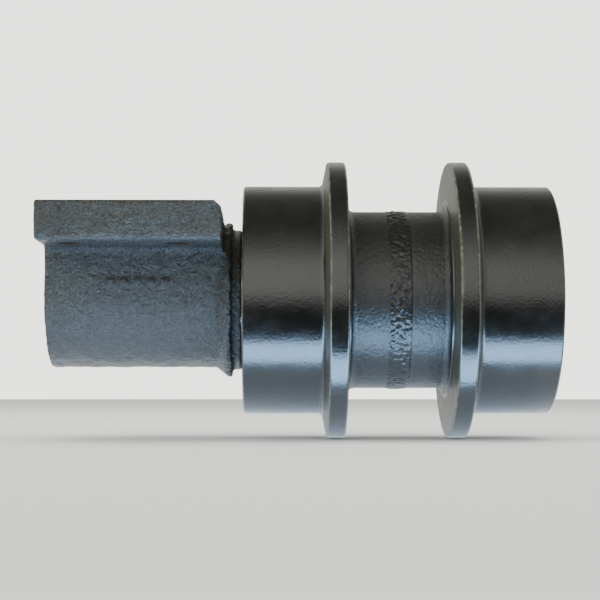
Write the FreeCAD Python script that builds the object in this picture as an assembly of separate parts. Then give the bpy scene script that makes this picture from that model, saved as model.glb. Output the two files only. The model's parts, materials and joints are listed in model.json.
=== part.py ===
"""Cantilever track roller: a cast bracket that bolts up under a track frame, a fixed shaft, and a
twin-flange roller that turns on two bushes in sealed oil.

Frame, in millimetres: the origin is the centre of the four bolt holes, on the mounting face.
+Z points out of the mounting face, towards the track frame. +X runs along the shaft, from the
bracket to the roller's outer end. Y is across the bracket.
"""
import FreeCAD
import Part
import math
import os

Vector = FreeCAD.Vector

# ---------------------------------------------------------------- driving dimensions, mm
# bracket, the iron casting
MOUNT_HEIGHT = 52.0          # shaft axis to mounting face
EAR_SPAN = 170.0             # across both ears
EAR_LENGTH = 106.0           # along the shaft
EAR_THICKNESS = 23.0
EAR_CORNER = 3.0             # round on the ears' outer lower edges
EAR_REAR_ROUND = 6.0         # round on the mounting face's edge nearest the roller
BODY_WALL = 16.5             # iron round the shaft, on the bracket's round lower side
BODY_TO_EAR_FILLET = 4.5
FRONT_MARGIN = 18.0          # bracket's front face to the first pair of bolt holes
BOLT_PITCH_X = 63.0
BOLT_PITCH_Y = 127.0
BOLT_HOLE_DIAMETER = 15.5    # clearance for M14
CHANNEL_WIDTH = 49.0         # relief between the two mounting pads
CHANNEL_DEPTH = 8.4
CHANNEL_FILLET = 2.0
GATE_STUB_WIDTH = 34.0       # broken-off casting gate left in the channel
GATE_STUB_LENGTH = 9.0
GATE_STUB_BELOW_FACE = 1.5
GROUND_FLAT_DEPTH = 0.4      # ground patch on the front face, over the gate
GROUND_FLAT_WIDTH = 48.0
GROUND_FLAT_MARGIN = 0.4     # iron left between the patch and the shaft's bore
BORE_MOUTH_CHAMFER = 1.0
CAST_EDGE = 1.2              # small round on the casting's front edge
FLARE_HEIGHT = 4.5           # dirt skirt at the bracket's roller end, above its neck
FLARE_LENGTH = 10.0
FLARE_LIP = 2.5
EDGE_BREAK = 0.6             # on the skirt's and the neck's end edges
BODY_PAST_EARS = 4.5         # skirt's end face beyond the ears
NECK_WALL = 4.0              # machined neck round the fixed half of the face seal
NECK_LENGTH = 6.0
PIP_COUNT = 5                # raised foundry pips on the bracket's side
PIP_RADIUS = 1.8
PIP_HEIGHT = 0.9
PIP_PITCH = 8.0
PIP_CENTRE_X = 6.0
PIP_ABOVE_AXIS = 8.0

# shaft
SHAFT_DIAMETER = 50.0        # in the bracket
JOURNAL_STEP = 2.5           # journal in the bushes, above the shaft in the bracket
SHAFT_RECESS = 3.8           # shaft end below the bracket's front face
SHAFT_CHAMFER = 1.2
TURNED_EDGE = 0.8            # chamfer on the collar, the thrust plate and the cover
COLLAR_HEIGHT = 7.5          # above the journal
COLLAR_THICKNESS = 7.0
CENTRE_DRILL_RADIUS = 3.0
CENTRE_PILOT_RADIUS = 1.2
CENTRE_PILOT_DEPTH = 3.0
OIL_HOLE_DIAMETER = 10.0
OIL_CROSS_HOLE_DIAMETER = 8.0
LOCK_PIN_DIAMETER = 10.0
LOCK_PIN_X = 10.0
LOCK_PIN_PAST_AXIS = 14.0    # how far the pin reaches beyond the shaft axis
LOCK_PIN_SUNK = 1.6          # pin's head below the channel floor
SHAFT_RING_GROOVE_WIDTH = 3.4
SHAFT_RING_GROOVE_DEPTH = 2.6
SHAFT_RING_FROM_SHOULDER = 8.0
SEAT_TO_SHOULDER = 0.5       # fixed seal seat's bottom to the journal's shoulder
COLLAR_FROM_RING = 2.4       # turning seal ring to the collar

# roller, two forged halves welded together
ROLLER_LENGTH = 187.0
TREAD_DIAMETER = 140.0
FLANGE_HEIGHT = 15.0         # above the tread
FLANGE_START = 51.0          # roller's end face to the flange's rim
FLANGE_THICKNESS = 11.0      # at the rim
FLANGE_TREAD_DRAFT = 3.0     # how far the tread-side face leans, root to rim
FLANGE_GROOVE_DRAFT = 1.0    # the same on the groove side
TREAD_FILLET = 3.0
RIM_ROUND = 1.8
TREAD_CHAMFER = 1.0
BARREL_DIAMETER = 109.0      # between the flanges
BARREL_FILLET = 4.0
BARREL_STEP_HEIGHT = 5.5     # above the barrel, where the flange's machined face begins
BARREL_STEP = 0.8
BARREL_STEP_EDGE = 0.5
WELD_FROM_BRACKET_END = 93.5
WELD_WIDTH = 13.0
WELD_DEPTH = 10.5
WELD_ROOT_WIDTH = 2.0
WELD_CROWN = 0.4
CHAMBER_WALL = 6.0           # weld root to the oil chamber in the middle
CHAMBER_LENGTH = 28.0
CHAMBER_CONE = 3.0
RUNNING_GAP = 1.0            # bracket's neck to roller's end face

# bushes, flanged
BUSH_WALL = 3.5
BUSH_FLANGE_HEIGHT = 7.5     # above the journal
BUSH_FLANGE_THICKNESS = 4.0
BUSH_LENGTH = 38.0           # below the flange
BUSH_CHAMFER = 0.8

# face seal: two lapped rings, each on a rubber toric in a conical seat
SEAL_SEAT_ANGLE = 15.0
SEAL_END_ROOM = 0.7          # behind each ring, to the bottom of its seat
SEAL_RING_WALL = 2.76        # at its thin end
SEAL_LIP_HEIGHT = 1.2        # above its ramp
SEAL_LIP_WIDTH = 2.2
SEAL_LIP_SLOPE = 0.6         # from the lip's back edge down to the ramp
SEAL_LIP_EDGE = 0.3
SEAL_BORE_CHAMFER = 1.5
SEAL_RING_LENGTH = 9.8
TORIC_SECTION_RADIUS = 2.4
TORIC_OFFSET = 6.2           # toric's centre from the lapped faces

# shaft end: thrust plate and its screws
THRUST_PLATE_OVERHANG = 7.5  # past the journal
THRUST_PLATE_THICKNESS = 7.0
SCREW_COUNT = 3
SCREW_CIRCLE_RADIUS = 16.0
SCREW_DIAMETER = 10.0
SCREW_DEPTH = 22.0           # thread in the shaft
SCREW_HEAD_ACROSS_FLATS = 17.0
SCREW_HEAD_HEIGHT = 6.4
LOCK_WASHER_THICKNESS = 2.2
LOCK_WASHER_RADIUS = 9.0
LOCK_WASHER_SPLIT = 1.0
PIN_CHAMFER = 1.0

# outer end cover, its ring and its plug
COVER_LEDGE = 5.0            # width of the ledge the cover seats on
COVER_THICKNESS = 7.0
COVER_SETBACK = 8.0          # cover's outer face below the roller's end face
COVER_DISH_DEPTH = 2.0
COVER_BOSS_WIDTH = 7.0       # round the plug
COVER_RIM_WIDTH = 8.0        # round the dish
COVER_DISH_ROUND = 1.0
COVER_EDGE = 0.5
COVER_RING_SECTION_RADIUS = 1.4
COVER_RING_GROOVE_WIDTH = 3.2
SNAP_RING_THICKNESS = 2.4
SNAP_RING_REACH = 2.4        # inwards from the cover's bore
SNAP_RING_GROOVE_DEPTH = 2.5
SNAP_RING_CLEARANCE = 0.2    # at the bottom of its groove
SNAP_RING_OPENING = 26.0     # degrees between the lugs
SNAP_LUG_RADIUS = 4.2
SNAP_LUG_HOLE_RADIUS = 1.3
MOUTH_CHAMFER = 1.5
PLUG_DIAMETER = 16.0
PLUG_FLANGE_RADIUS = 12.5
PLUG_FLANGE_THICKNESS = 1.5
PLUG_ACROSS_FLATS = 19.0
PLUG_HEAD_HEIGHT = 4.0
PLUG_WASHER_THICKNESS = 1.5
PLUG_WASHER_RADIUS = 12.0
PLUG_PAST_COVER = 1.5        # plug's shank below the cover's inner face

# clearances, radial or on one side
LOCATING_CLEARANCE = 0.02
PRESS_CLEARANCE = 0.01
BUSH_CLEARANCE = 0.08
END_FLOAT = 0.3              # each side of the roller
LAPPED_FILM = 0.03           # each ring's face from the seal's middle plane
AXIAL_CLEARANCE = 0.1
SEAL_RING_CLEARANCE = 1.1    # seal ring's bore round the journal
COLLAR_CLEARANCE = 1.2       # the collar in the roller
THRUST_PLATE_CLEARANCE = 4.0  # the thrust plate in the roller
SCREW_HOLE_CLEARANCE = 0.5   # screws in the thrust plate
LOCK_WASHER_CLEARANCE = 0.2  # screws in their lock washers
PLUG_WASHER_CLEARANCE = 0.1
SCREW_TO_COVER = 3.0         # screw heads to the cover's inner face
DRILL_PAST_SCREW = 2.0       # tapped hole deeper than its screw
BURIED = 1.0                 # how far a joined shape reaches into its neighbour, and a cut past a face

# ---------------------------------------------------------------- places worked out from them
AXIS_Z = -MOUNT_HEIGHT
FRONT_X = -BOLT_PITCH_X / 2 - FRONT_MARGIN
EAR_END_X = FRONT_X + EAR_LENGTH
SKIRT_END_X = EAR_END_X + BODY_PAST_EARS
NECK_END_X = SKIRT_END_X + NECK_LENGTH
ROLLER_X = NECK_END_X + RUNNING_GAP
ROLLER_END_X = ROLLER_X + ROLLER_LENGTH
WELD_X = ROLLER_X + WELD_FROM_BRACKET_END
SEAL_X = (NECK_END_X + ROLLER_X) / 2
SEAT_SLOPE = math.tan(math.radians(SEAL_SEAT_ANGLE))
SHAFT_RADIUS = SHAFT_DIAMETER / 2
JOURNAL_RADIUS = SHAFT_RADIUS + JOURNAL_STEP
COLLAR_RADIUS = JOURNAL_RADIUS + COLLAR_HEIGHT
SEAL_CAVITY_RADIUS = COLLAR_RADIUS + COLLAR_CLEARANCE
SEAL_RING_BORE_RADIUS = JOURNAL_RADIUS + SEAL_RING_CLEARANCE
SEAT_COSINE = math.cos(math.radians(SEAL_SEAT_ANGLE))
TORIC_SPACE = 2 * (TORIC_SECTION_RADIUS + LOCATING_CLEARANCE) / SEAT_COSINE
SEAL_SEAT_DEPTH = SEAL_RING_LENGTH + SEAL_END_ROOM
SEAL_RAMP_RADIUS = SEAL_RING_BORE_RADIUS + SEAL_RING_WALL + SEAL_RING_LENGTH * SEAT_SLOPE
SEAL_SEAT_RADIUS = SEAL_RAMP_RADIUS + TORIC_SPACE
SEAT_BACK_RADIUS = SEAL_SEAT_RADIUS - SEAL_SEAT_DEPTH * SEAT_SLOPE
SHOULDER_X = SEAL_X - SEAL_SEAT_DEPTH - SEAT_TO_SHOULDER
COLLAR_X = SEAL_X + SEAL_RING_LENGTH + COLLAR_FROM_RING
COLLAR_END_X = COLLAR_X + COLLAR_THICKNESS
INNER_SEAT_X = COLLAR_END_X + END_FLOAT + BUSH_FLANGE_THICKNESS
BUSH_RADIUS = JOURNAL_RADIUS + BUSH_CLEARANCE + BUSH_WALL
BORE_RADIUS = BUSH_RADIUS + PRESS_CLEARANCE
BODY_RADIUS = SHAFT_RADIUS + BODY_WALL
NECK_RADIUS = SEAL_SEAT_RADIUS + NECK_WALL
FLARE_RADIUS = NECK_RADIUS + FLARE_HEIGHT
TREAD_RADIUS = TREAD_DIAMETER / 2
BARREL_RADIUS = BARREL_DIAMETER / 2
WELD_ROOT_RADIUS = BARREL_RADIUS - WELD_DEPTH
CHAMBER_RADIUS = WELD_ROOT_RADIUS - CHAMBER_WALL
THRUST_PLATE_RADIUS = JOURNAL_RADIUS + THRUST_PLATE_OVERHANG
THRUST_CAVITY_RADIUS = THRUST_PLATE_RADIUS + THRUST_PLATE_CLEARANCE
COVER_RADIUS = THRUST_CAVITY_RADIUS + COVER_LEDGE
COVER_GROOVE_RADIUS = COVER_RADIUS - 2 * COVER_RING_SECTION_RADIUS - 2 * PRESS_CLEARANCE
SNAP_RING_OUTER_RADIUS = COVER_RADIUS + SNAP_RING_GROOVE_DEPTH - SNAP_RING_CLEARANCE
COVER_OUT_X = ROLLER_END_X - COVER_SETBACK
COVER_SEAT_X = COVER_OUT_X - COVER_THICKNESS
SCREW_HEAD_X = COVER_SEAT_X - SCREW_TO_COVER - SCREW_HEAD_HEIGHT
PLATE_END_X = SCREW_HEAD_X - LOCK_WASHER_THICKNESS
SHAFT_END_X = PLATE_END_X - THRUST_PLATE_THICKNESS
OUTER_SEAT_X = SHAFT_END_X - END_FLOAT - BUSH_FLANGE_THICKNESS
SNAP_X = COVER_OUT_X + AXIAL_CLEARANCE
SHAFT_X = FRONT_X + SHAFT_RECESS
CHANNEL_Z = -CHANNEL_DEPTH


# ---------------------------------------------------------------- drawing helpers
def corner_arc(before, corner, after, radius):
    """Start, middle and end of the arc that rounds a corner between two straight lines."""
    back = (before - corner).normalize()
    ahead = (after - corner).normalize()
    half = back.getAngle(ahead) / 2
    middle = (back + ahead).normalize()
    reach = radius / math.tan(half)
    centre = corner + middle * (radius / math.sin(half))
    return corner + back * reach, centre - middle * radius, corner + ahead * reach


def outline(points):
    """Closed wire through (Vector, corner radius) pairs."""
    edges = []
    count = len(points)
    ends = []
    for i, (corner, radius) in enumerate(points):
        if radius > 0:
            before, after = points[i - 1][0], points[(i + 1) % count][0]
            start, middle, end = corner_arc(before, corner, after, radius)
            ends.append((start, end))
            edges.append(Part.Arc(start, middle, end).toShape())
        else:
            ends.append((corner, corner))
    for i in range(count):
        start, end = ends[i][1], ends[(i + 1) % count][0]
        if start.distanceToPoint(end) > 1e-6:
            edges.append(Part.LineSegment(start, end).toShape())
    return Part.Wire(Part.__sortEdges__(edges))


def turned(profile):
    """Solid of revolution about the shaft axis from (x, radius) or (x, radius, corner) points."""
    points = []
    for p in profile:
        corner = p[2] if len(p) > 2 else 0
        points.append((Vector(p[0], 0, AXIS_Z + p[1]), corner))
    face = Part.Face(outline(points))
    return face.revolve(Vector(0, 0, AXIS_Z), Vector(1, 0, 0), 360)


def bar(radius, x0, x1, y=0.0, z=AXIS_Z):
    """Round bar along X."""
    return Part.makeCylinder(radius, x1 - x0, Vector(x0, y, z), Vector(1, 0, 0))


def cone(radius0, radius1, x0, x1, y=0.0, z=AXIS_Z):
    """Cone along X, radius0 at x0 and radius1 at x1."""
    return Part.makeCone(radius0, radius1, x1 - x0, Vector(x0, y, z), Vector(1, 0, 0))


def washer(inner, outer, x0, x1, y=0.0, z=AXIS_Z):
    """Flat ring along X."""
    return bar(outer, x0, x1, y, z).cut(bar(inner, x0 - BURIED, x1 + BURIED, y, z))


def hexagon(across_flats, x0, x1, y=0.0, z=AXIS_Z):
    """Hexagonal bar along X with its corners chamfered at the x1 end."""
    corner, flat = across_flats / math.sqrt(3), across_flats / 2
    points = []
    for i in range(6):
        angle = math.radians(60 * i)
        points.append(Vector(x0, y + corner * math.cos(angle), z + corner * math.sin(angle)))
    prism = Part.Face(Part.makePolygon(points + [points[0]])).extrude(Vector(x1 - x0, 0, 0))
    chamfer = cone(flat + (x1 - x0) / math.tan(math.radians(30)), flat, x0, x1, y, z)
    return prism.common(chamfer).removeSplitter()


def toric(section_radius, x, centre_radius):
    """Rubber ring about the shaft axis."""
    return Part.makeTorus(centre_radius, section_radius, Vector(x, 0, AXIS_Z), Vector(1, 0, 0))


def nearly(a, b, within=0.05):
    return abs(a - b) < within


# ---------------------------------------------------------------- bracket
def ear_plate():
    """Both ears and the pads as one plate, with the channel between the pads."""
    half, top, low = EAR_SPAN / 2, 0.0, -EAR_THICKNESS
    inner = CHANNEL_WIDTH / 2
    section = [
        (Vector(FRONT_X, -half, top), CAST_EDGE),
        (Vector(FRONT_X, -half, low), EAR_CORNER),
        (Vector(FRONT_X, half, low), EAR_CORNER),
        (Vector(FRONT_X, half, top), CAST_EDGE),
        (Vector(FRONT_X, inner, top), 0),
        (Vector(FRONT_X, inner, CHANNEL_Z), CHANNEL_FILLET),
        (Vector(FRONT_X, -inner, CHANNEL_Z), CHANNEL_FILLET),
        (Vector(FRONT_X, -inner, top), 0),
    ]
    plate = Part.Face(outline(section)).extrude(Vector(EAR_LENGTH, 0, 0))
    rear_side = [
        (Vector(FRONT_X - BURIED, -half - BURIED, top), 0),
        (Vector(FRONT_X - BURIED, -half - BURIED, low - BURIED), 0),
        (Vector(EAR_END_X, -half - BURIED, low - BURIED), 0),
        (Vector(EAR_END_X, -half - BURIED, top), EAR_REAR_ROUND),
    ]
    envelope = Part.Face(outline(rear_side)).extrude(Vector(0, EAR_SPAN + 2 * BURIED, 0))
    return plate.common(envelope)


def lower_body():
    """The round-bottomed block below the ears, with its fillets into them."""
    radius = BODY_RADIUS
    low, high = -EAR_THICKNESS, CHANNEL_Z - CHANNEL_FILLET - BURIED
    wide = radius + BODY_TO_EAR_FILLET
    bend = BODY_TO_EAR_FILLET * (1 - math.sqrt(0.5))
    left, right = Vector(FRONT_X, -radius, AXIS_Z), Vector(FRONT_X, radius, AXIS_Z)
    bottom = Vector(FRONT_X, 0, AXIS_Z - radius)
    edges = [Part.Arc(left, bottom, right).toShape()]
    for side in (1, -1):
        hip = Vector(FRONT_X, side * radius, AXIS_Z)
        fillet_start = Vector(FRONT_X, side * radius, low - BODY_TO_EAR_FILLET)
        fillet_middle = Vector(FRONT_X, side * (radius + bend), low - bend)
        fillet_end = Vector(FRONT_X, side * wide, low)
        edges.append(Part.LineSegment(hip, fillet_start).toShape())
        edges.append(Part.Arc(fillet_start, fillet_middle, fillet_end).toShape())
        edges.append(Part.LineSegment(fillet_end, Vector(FRONT_X, side * wide, high)).toShape())
    lid = Part.LineSegment(Vector(FRONT_X, wide, high), Vector(FRONT_X, -wide, high))
    edges.append(lid.toShape())
    face = Part.Face(Part.Wire(Part.__sortEdges__(edges)))
    return face.extrude(Vector(EAR_LENGTH, 0, 0))


def skirt_and_neck():
    """The flared skirt and the machined neck, with the fixed seal's conical seat inside."""
    inner_radius = SHAFT_RADIUS - BURIED
    start = SKIRT_END_X - FLARE_LENGTH
    return turned(
        [
            (start, inner_radius),
            (start, BODY_RADIUS - EDGE_BREAK),
            (SKIRT_END_X - FLARE_LIP, FLARE_RADIUS),
            (SKIRT_END_X, FLARE_RADIUS - EDGE_BREAK),
            (SKIRT_END_X, NECK_RADIUS),
            (NECK_END_X - EDGE_BREAK, NECK_RADIUS),
            (NECK_END_X, NECK_RADIUS - EDGE_BREAK),
            (NECK_END_X, inner_radius),
        ]
    )


def seal_seat(direction, depth):
    """Space of one conical seal seat, opening at the seal's middle plane."""
    mouth, bottom = SEAL_X - BURIED * direction, SEAL_X + depth * direction
    return turned(
        [
            (mouth, 0),
            (mouth, SEAL_SEAT_RADIUS + BURIED * SEAT_SLOPE),
            (bottom, SEAL_SEAT_RADIUS - depth * SEAT_SLOPE),
            (bottom, 0),
        ]
    )


def gate_stub():
    """Rough stump of the casting gate in the channel's front end."""
    half, height = GATE_STUB_WIDTH / 2, -GATE_STUB_BELOW_FACE - CHANNEL_Z
    x = FRONT_X + GROUND_FLAT_DEPTH
    base = CHANNEL_Z - BURIED
    section = [
        (Vector(x, -half - 3, base), 0),
        (Vector(x, -half, CHANNEL_Z + height * 0.45), 0),
        (Vector(x, -half * 0.55, CHANNEL_Z + height * 0.95), 0),
        (Vector(x, 0, CHANNEL_Z + height * 0.8), 0),
        (Vector(x, half * 0.45, CHANNEL_Z + height), 0),
        (Vector(x, half, CHANNEL_Z + height * 0.6), 0),
        (Vector(x, half + 2, base), 0),
    ]
    return Part.Face(outline(section)).extrude(Vector(GATE_STUB_LENGTH, 0, 0))


def foundry_pips():
    """A plain row of raised pips on the bracket's side."""
    pips = []
    first = PIP_CENTRE_X - PIP_PITCH * (PIP_COUNT - 1) / 2
    for i in range(PIP_COUNT):
        base = Vector(first + i * PIP_PITCH, BURIED - BODY_RADIUS, AXIS_Z + PIP_ABOVE_AXIS)
        height = PIP_HEIGHT + BURIED
        pips.append(Part.makeCone(PIP_RADIUS * 1.25, PIP_RADIUS * 0.8, height, base, Vector(0, -1, 0)))
    return pips


def bracket():
    solid = ear_plate().fuse([lower_body(), skirt_and_neck(), gate_stub()] + foundry_pips())
    solid = solid.removeSplitter()
    front = []
    for edge in solid.Edges:
        box = edge.BoundBox
        on_front = nearly(box.XMin, FRONT_X) and nearly(box.XMax, FRONT_X)
        if on_front and box.ZMax < CHANNEL_Z - BURIED / 2:
            front.append(edge)
    solid = solid.makeFillet(CAST_EDGE, front)
    bore = bar(SHAFT_RADIUS + LOCATING_CLEARANCE, FRONT_X - BURIED, NECK_END_X + BURIED)
    mouth = cone(SHAFT_RADIUS + BORE_MOUTH_CHAMFER, SHAFT_RADIUS, FRONT_X, FRONT_X + BORE_MOUTH_CHAMFER)
    seat = seal_seat(-1, SEAL_X - SHOULDER_X)
    patch_z = AXIS_Z + SHAFT_RADIUS + GROUND_FLAT_MARGIN
    patch_corner = Vector(FRONT_X - BURIED, -GROUND_FLAT_WIDTH / 2, patch_z)
    patch = Part.makeBox(GROUND_FLAT_DEPTH + BURIED, GROUND_FLAT_WIDTH, BURIED - patch_z, patch_corner)
    cuts = [bore, mouth, seat, patch, lock_pin_hole(BURIED - CHANNEL_Z)]
    length = EAR_THICKNESS + 2 * BURIED
    for x in (-BOLT_PITCH_X / 2, BOLT_PITCH_X / 2):
        for y in (-BOLT_PITCH_Y / 2, BOLT_PITCH_Y / 2):
            low = Vector(x, y, -EAR_THICKNESS - BURIED)
            cuts.append(Part.makeCylinder(BOLT_HOLE_DIAMETER / 2, length, low))
    return solid.cut(cuts)


# ---------------------------------------------------------------- shaft and what is on it
def lock_pin_hole(above_channel):
    """Blind hole for the lock pin, down through the channel floor and across the shaft."""
    radius = LOCK_PIN_DIAMETER / 2 + LOCATING_CLEARANCE
    low = AXIS_Z - LOCK_PIN_PAST_AXIS
    return Part.makeCylinder(radius, CHANNEL_Z + above_channel - low, Vector(LOCK_PIN_X, 0, low))


def shaft():
    thin, journal = SHAFT_RADIUS, JOURNAL_RADIUS
    groove_end = SHOULDER_X - SHAFT_RING_FROM_SHOULDER
    groove_start = groove_end - SHAFT_RING_GROOVE_WIDTH
    groove_radius = thin - SHAFT_RING_GROOVE_DEPTH
    body = turned(
        [
            (SHAFT_X, 0),
            (SHAFT_X, thin - SHAFT_CHAMFER),
            (SHAFT_X + SHAFT_CHAMFER, thin),
            (groove_start, thin),
            (groove_start, groove_radius),
            (groove_end, groove_radius),
            (groove_end, thin),
            (SHOULDER_X, thin),
            (SHOULDER_X, journal),
            (COLLAR_X, journal),
            (COLLAR_X, COLLAR_RADIUS - TURNED_EDGE),
            (COLLAR_X + TURNED_EDGE, COLLAR_RADIUS),
            (COLLAR_END_X, COLLAR_RADIUS),
            (COLLAR_END_X, journal),
            (SHAFT_END_X - SHAFT_CHAMFER, journal),
            (SHAFT_END_X, journal - SHAFT_CHAMFER),
            (SHAFT_END_X, 0),
        ]
    )
    cone_depth = (CENTRE_DRILL_RADIUS - CENTRE_PILOT_RADIUS) / math.tan(math.radians(30))
    centre = cone(CENTRE_DRILL_RADIUS, CENTRE_PILOT_RADIUS, SHAFT_X, SHAFT_X + cone_depth)
    pilot = bar(CENTRE_PILOT_RADIUS, SHAFT_X, SHAFT_X + cone_depth + CENTRE_PILOT_DEPTH)
    oil = bar(OIL_HOLE_DIAMETER / 2, WELD_X - OIL_CROSS_HOLE_DIAMETER, SHAFT_END_X + BURIED)
    cross_start = Vector(WELD_X, 0, AXIS_Z)
    cross = Part.makeCylinder(OIL_CROSS_HOLE_DIAMETER / 2, journal + BURIED, cross_start)
    cuts = [centre, pilot, oil, cross, lock_pin_hole(BURIED)]
    drilled_to = SHAFT_END_X - SCREW_DEPTH - DRILL_PAST_SCREW
    for y, z in screw_places():
        cuts.append(bar(SCREW_DIAMETER / 2, drilled_to, SHAFT_END_X + BURIED, y, z))
    return body.cut(cuts)


def shaft_lock_pin():
    low = AXIS_Z - LOCK_PIN_PAST_AXIS + AXIAL_CLEARANCE
    high = CHANNEL_Z - LOCK_PIN_SUNK
    pin = Part.makeCylinder(LOCK_PIN_DIAMETER / 2, high - low, Vector(LOCK_PIN_X, 0, low))
    ends = [e for e in pin.Edges if nearly(e.BoundBox.ZMin, e.BoundBox.ZMax)]
    return pin.makeChamfer(PIN_CHAMFER, ends)


def shaft_o_ring():
    bore = SHAFT_RADIUS + LOCATING_CLEARANCE
    groove = SHAFT_RADIUS - SHAFT_RING_GROOVE_DEPTH
    x = SHOULDER_X - SHAFT_RING_FROM_SHOULDER - SHAFT_RING_GROOVE_WIDTH / 2
    return toric((bore - groove) / 2 - PRESS_CLEARANCE, x, (bore + groove) / 2)


def screw_places():
    """Y and Z of each thrust plate screw."""
    places = []
    for i in range(SCREW_COUNT):
        angle = math.radians(90 + 360 / SCREW_COUNT * (i + 0.5))
        y, z = SCREW_CIRCLE_RADIUS * math.cos(angle), SCREW_CIRCLE_RADIUS * math.sin(angle)
        places.append((y, AXIS_Z + z))
    return places


def thrust_plate():
    radius = THRUST_PLATE_RADIUS
    plate = turned(
        [
            (SHAFT_END_X, OIL_HOLE_DIAMETER / 2),
            (SHAFT_END_X, radius - TURNED_EDGE),
            (SHAFT_END_X + TURNED_EDGE, radius),
            (PLATE_END_X - TURNED_EDGE, radius),
            (PLATE_END_X, radius - TURNED_EDGE),
            (PLATE_END_X, OIL_HOLE_DIAMETER / 2),
        ]
    )
    radius = SCREW_DIAMETER / 2 + SCREW_HOLE_CLEARANCE
    holes = []
    for y, z in screw_places():
        holes.append(bar(radius, SHAFT_END_X - BURIED, PLATE_END_X + BURIED, y, z))
    return plate.cut(holes)


def thrust_plate_screws():
    radius = SCREW_DIAMETER / 2 - LOCATING_CLEARANCE
    head_end = SCREW_HEAD_X + SCREW_HEAD_HEIGHT
    screws = []
    for y, z in screw_places():
        shank = bar(radius, SHAFT_END_X - SCREW_DEPTH, SCREW_HEAD_X + BURIED, y, z)
        head = hexagon(SCREW_HEAD_ACROSS_FLATS, SCREW_HEAD_X, head_end, y, z)
        screws.append(head.fuse(shank).removeSplitter())
    return Part.makeCompound(screws)


def thrust_plate_lock_washers():
    inner = SCREW_DIAMETER / 2 + LOCK_WASHER_CLEARANCE
    length, height = LOCK_WASHER_THICKNESS + 2 * BURIED, LOCK_WASHER_RADIUS + BURIED
    washers = []
    for y, z in screw_places():
        ring = washer(inner, LOCK_WASHER_RADIUS, PLATE_END_X, SCREW_HEAD_X, y, z)
        corner = Vector(PLATE_END_X - BURIED, y - LOCK_WASHER_SPLIT / 2, z)
        split = Part.makeBox(length, LOCK_WASHER_SPLIT, height, corner)
        washers.append(ring.cut(split))
    return Part.makeCompound(washers)


# ---------------------------------------------------------------- face seal
def seal_ring(direction):
    """Hard iron ring; direction +1 is the turning half, towards the roller."""
    lip = SEAL_RAMP_RADIUS + SEAL_LIP_HEIGHT
    ramp_start = SEAL_LIP_WIDTH + SEAL_LIP_SLOPE
    profile = [
        (LAPPED_FILM, SEAL_RING_BORE_RADIUS + SEAL_BORE_CHAMFER),
        (LAPPED_FILM, lip - SEAL_LIP_EDGE),
        (LAPPED_FILM + SEAL_LIP_EDGE, lip),
        (SEAL_LIP_WIDTH, lip),
        (ramp_start, SEAL_RAMP_RADIUS - ramp_start * SEAT_SLOPE),
        (SEAL_RING_LENGTH, SEAL_RING_BORE_RADIUS + SEAL_RING_WALL),
        (SEAL_RING_LENGTH, SEAL_RING_BORE_RADIUS),
        (LAPPED_FILM + SEAL_BORE_CHAMFER, SEAL_RING_BORE_RADIUS),
    ]
    return turned([(SEAL_X + direction * t, r) for t, r in profile])


def seal_toric(direction):
    radius = SEAL_SEAT_RADIUS - TORIC_OFFSET * SEAT_SLOPE - TORIC_SPACE / 2
    return toric(TORIC_SECTION_RADIUS, SEAL_X + direction * TORIC_OFFSET, radius)


# ---------------------------------------------------------------- roller
def half_outside(end_x, direction):
    """Outside of one roller half, from its end face to the weld, as (x, radius, corner) points."""
    tread, rim = TREAD_RADIUS, TREAD_RADIUS + FLANGE_HEIGHT
    barrel, step = BARREL_RADIUS, BARREL_RADIUS + BARREL_STEP_HEIGHT
    back = FLANGE_START + FLANGE_THICKNESS
    foot = back + FLANGE_GROOVE_DRAFT
    run = abs(WELD_X - end_x)
    points = [
        (0, tread - TREAD_CHAMFER, 0),
        (TREAD_CHAMFER, tread, 0),
        (FLANGE_START - FLANGE_TREAD_DRAFT, tread, TREAD_FILLET),
        (FLANGE_START, rim, RIM_ROUND),
        (back, rim, RIM_ROUND),
        (foot, step, 0),
        (foot + BARREL_STEP, step - BARREL_STEP_EDGE, 0),
        (foot + BARREL_STEP, barrel, BARREL_FILLET),
        (run - WELD_WIDTH / 2, barrel, 0),
        (run - WELD_ROOT_WIDTH / 2, WELD_ROOT_RADIUS, 0),
        (run, WELD_ROOT_RADIUS, 0),
    ]
    return [(end_x + direction * x, r, corner) for x, r, corner in points]


def inner_roller_half():
    start = WELD_X - CHAMBER_LENGTH / 2
    mouth = SEAL_SEAT_RADIUS - (ROLLER_X - SEAL_X) * SEAT_SLOPE
    inside = [
        (WELD_X, CHAMBER_RADIUS, 0),
        (start, CHAMBER_RADIUS, 0),
        (start - CHAMBER_CONE, BORE_RADIUS, 0),
        (INNER_SEAT_X, BORE_RADIUS, 0),
        (INNER_SEAT_X, SEAL_CAVITY_RADIUS, 0),
        (SEAL_X + SEAL_SEAT_DEPTH, SEAL_CAVITY_RADIUS, 0),
        (SEAL_X + SEAL_SEAT_DEPTH, SEAT_BACK_RADIUS, 0),
        (ROLLER_X, mouth, 0),
    ]
    return turned(half_outside(ROLLER_X, 1) + inside)


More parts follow.
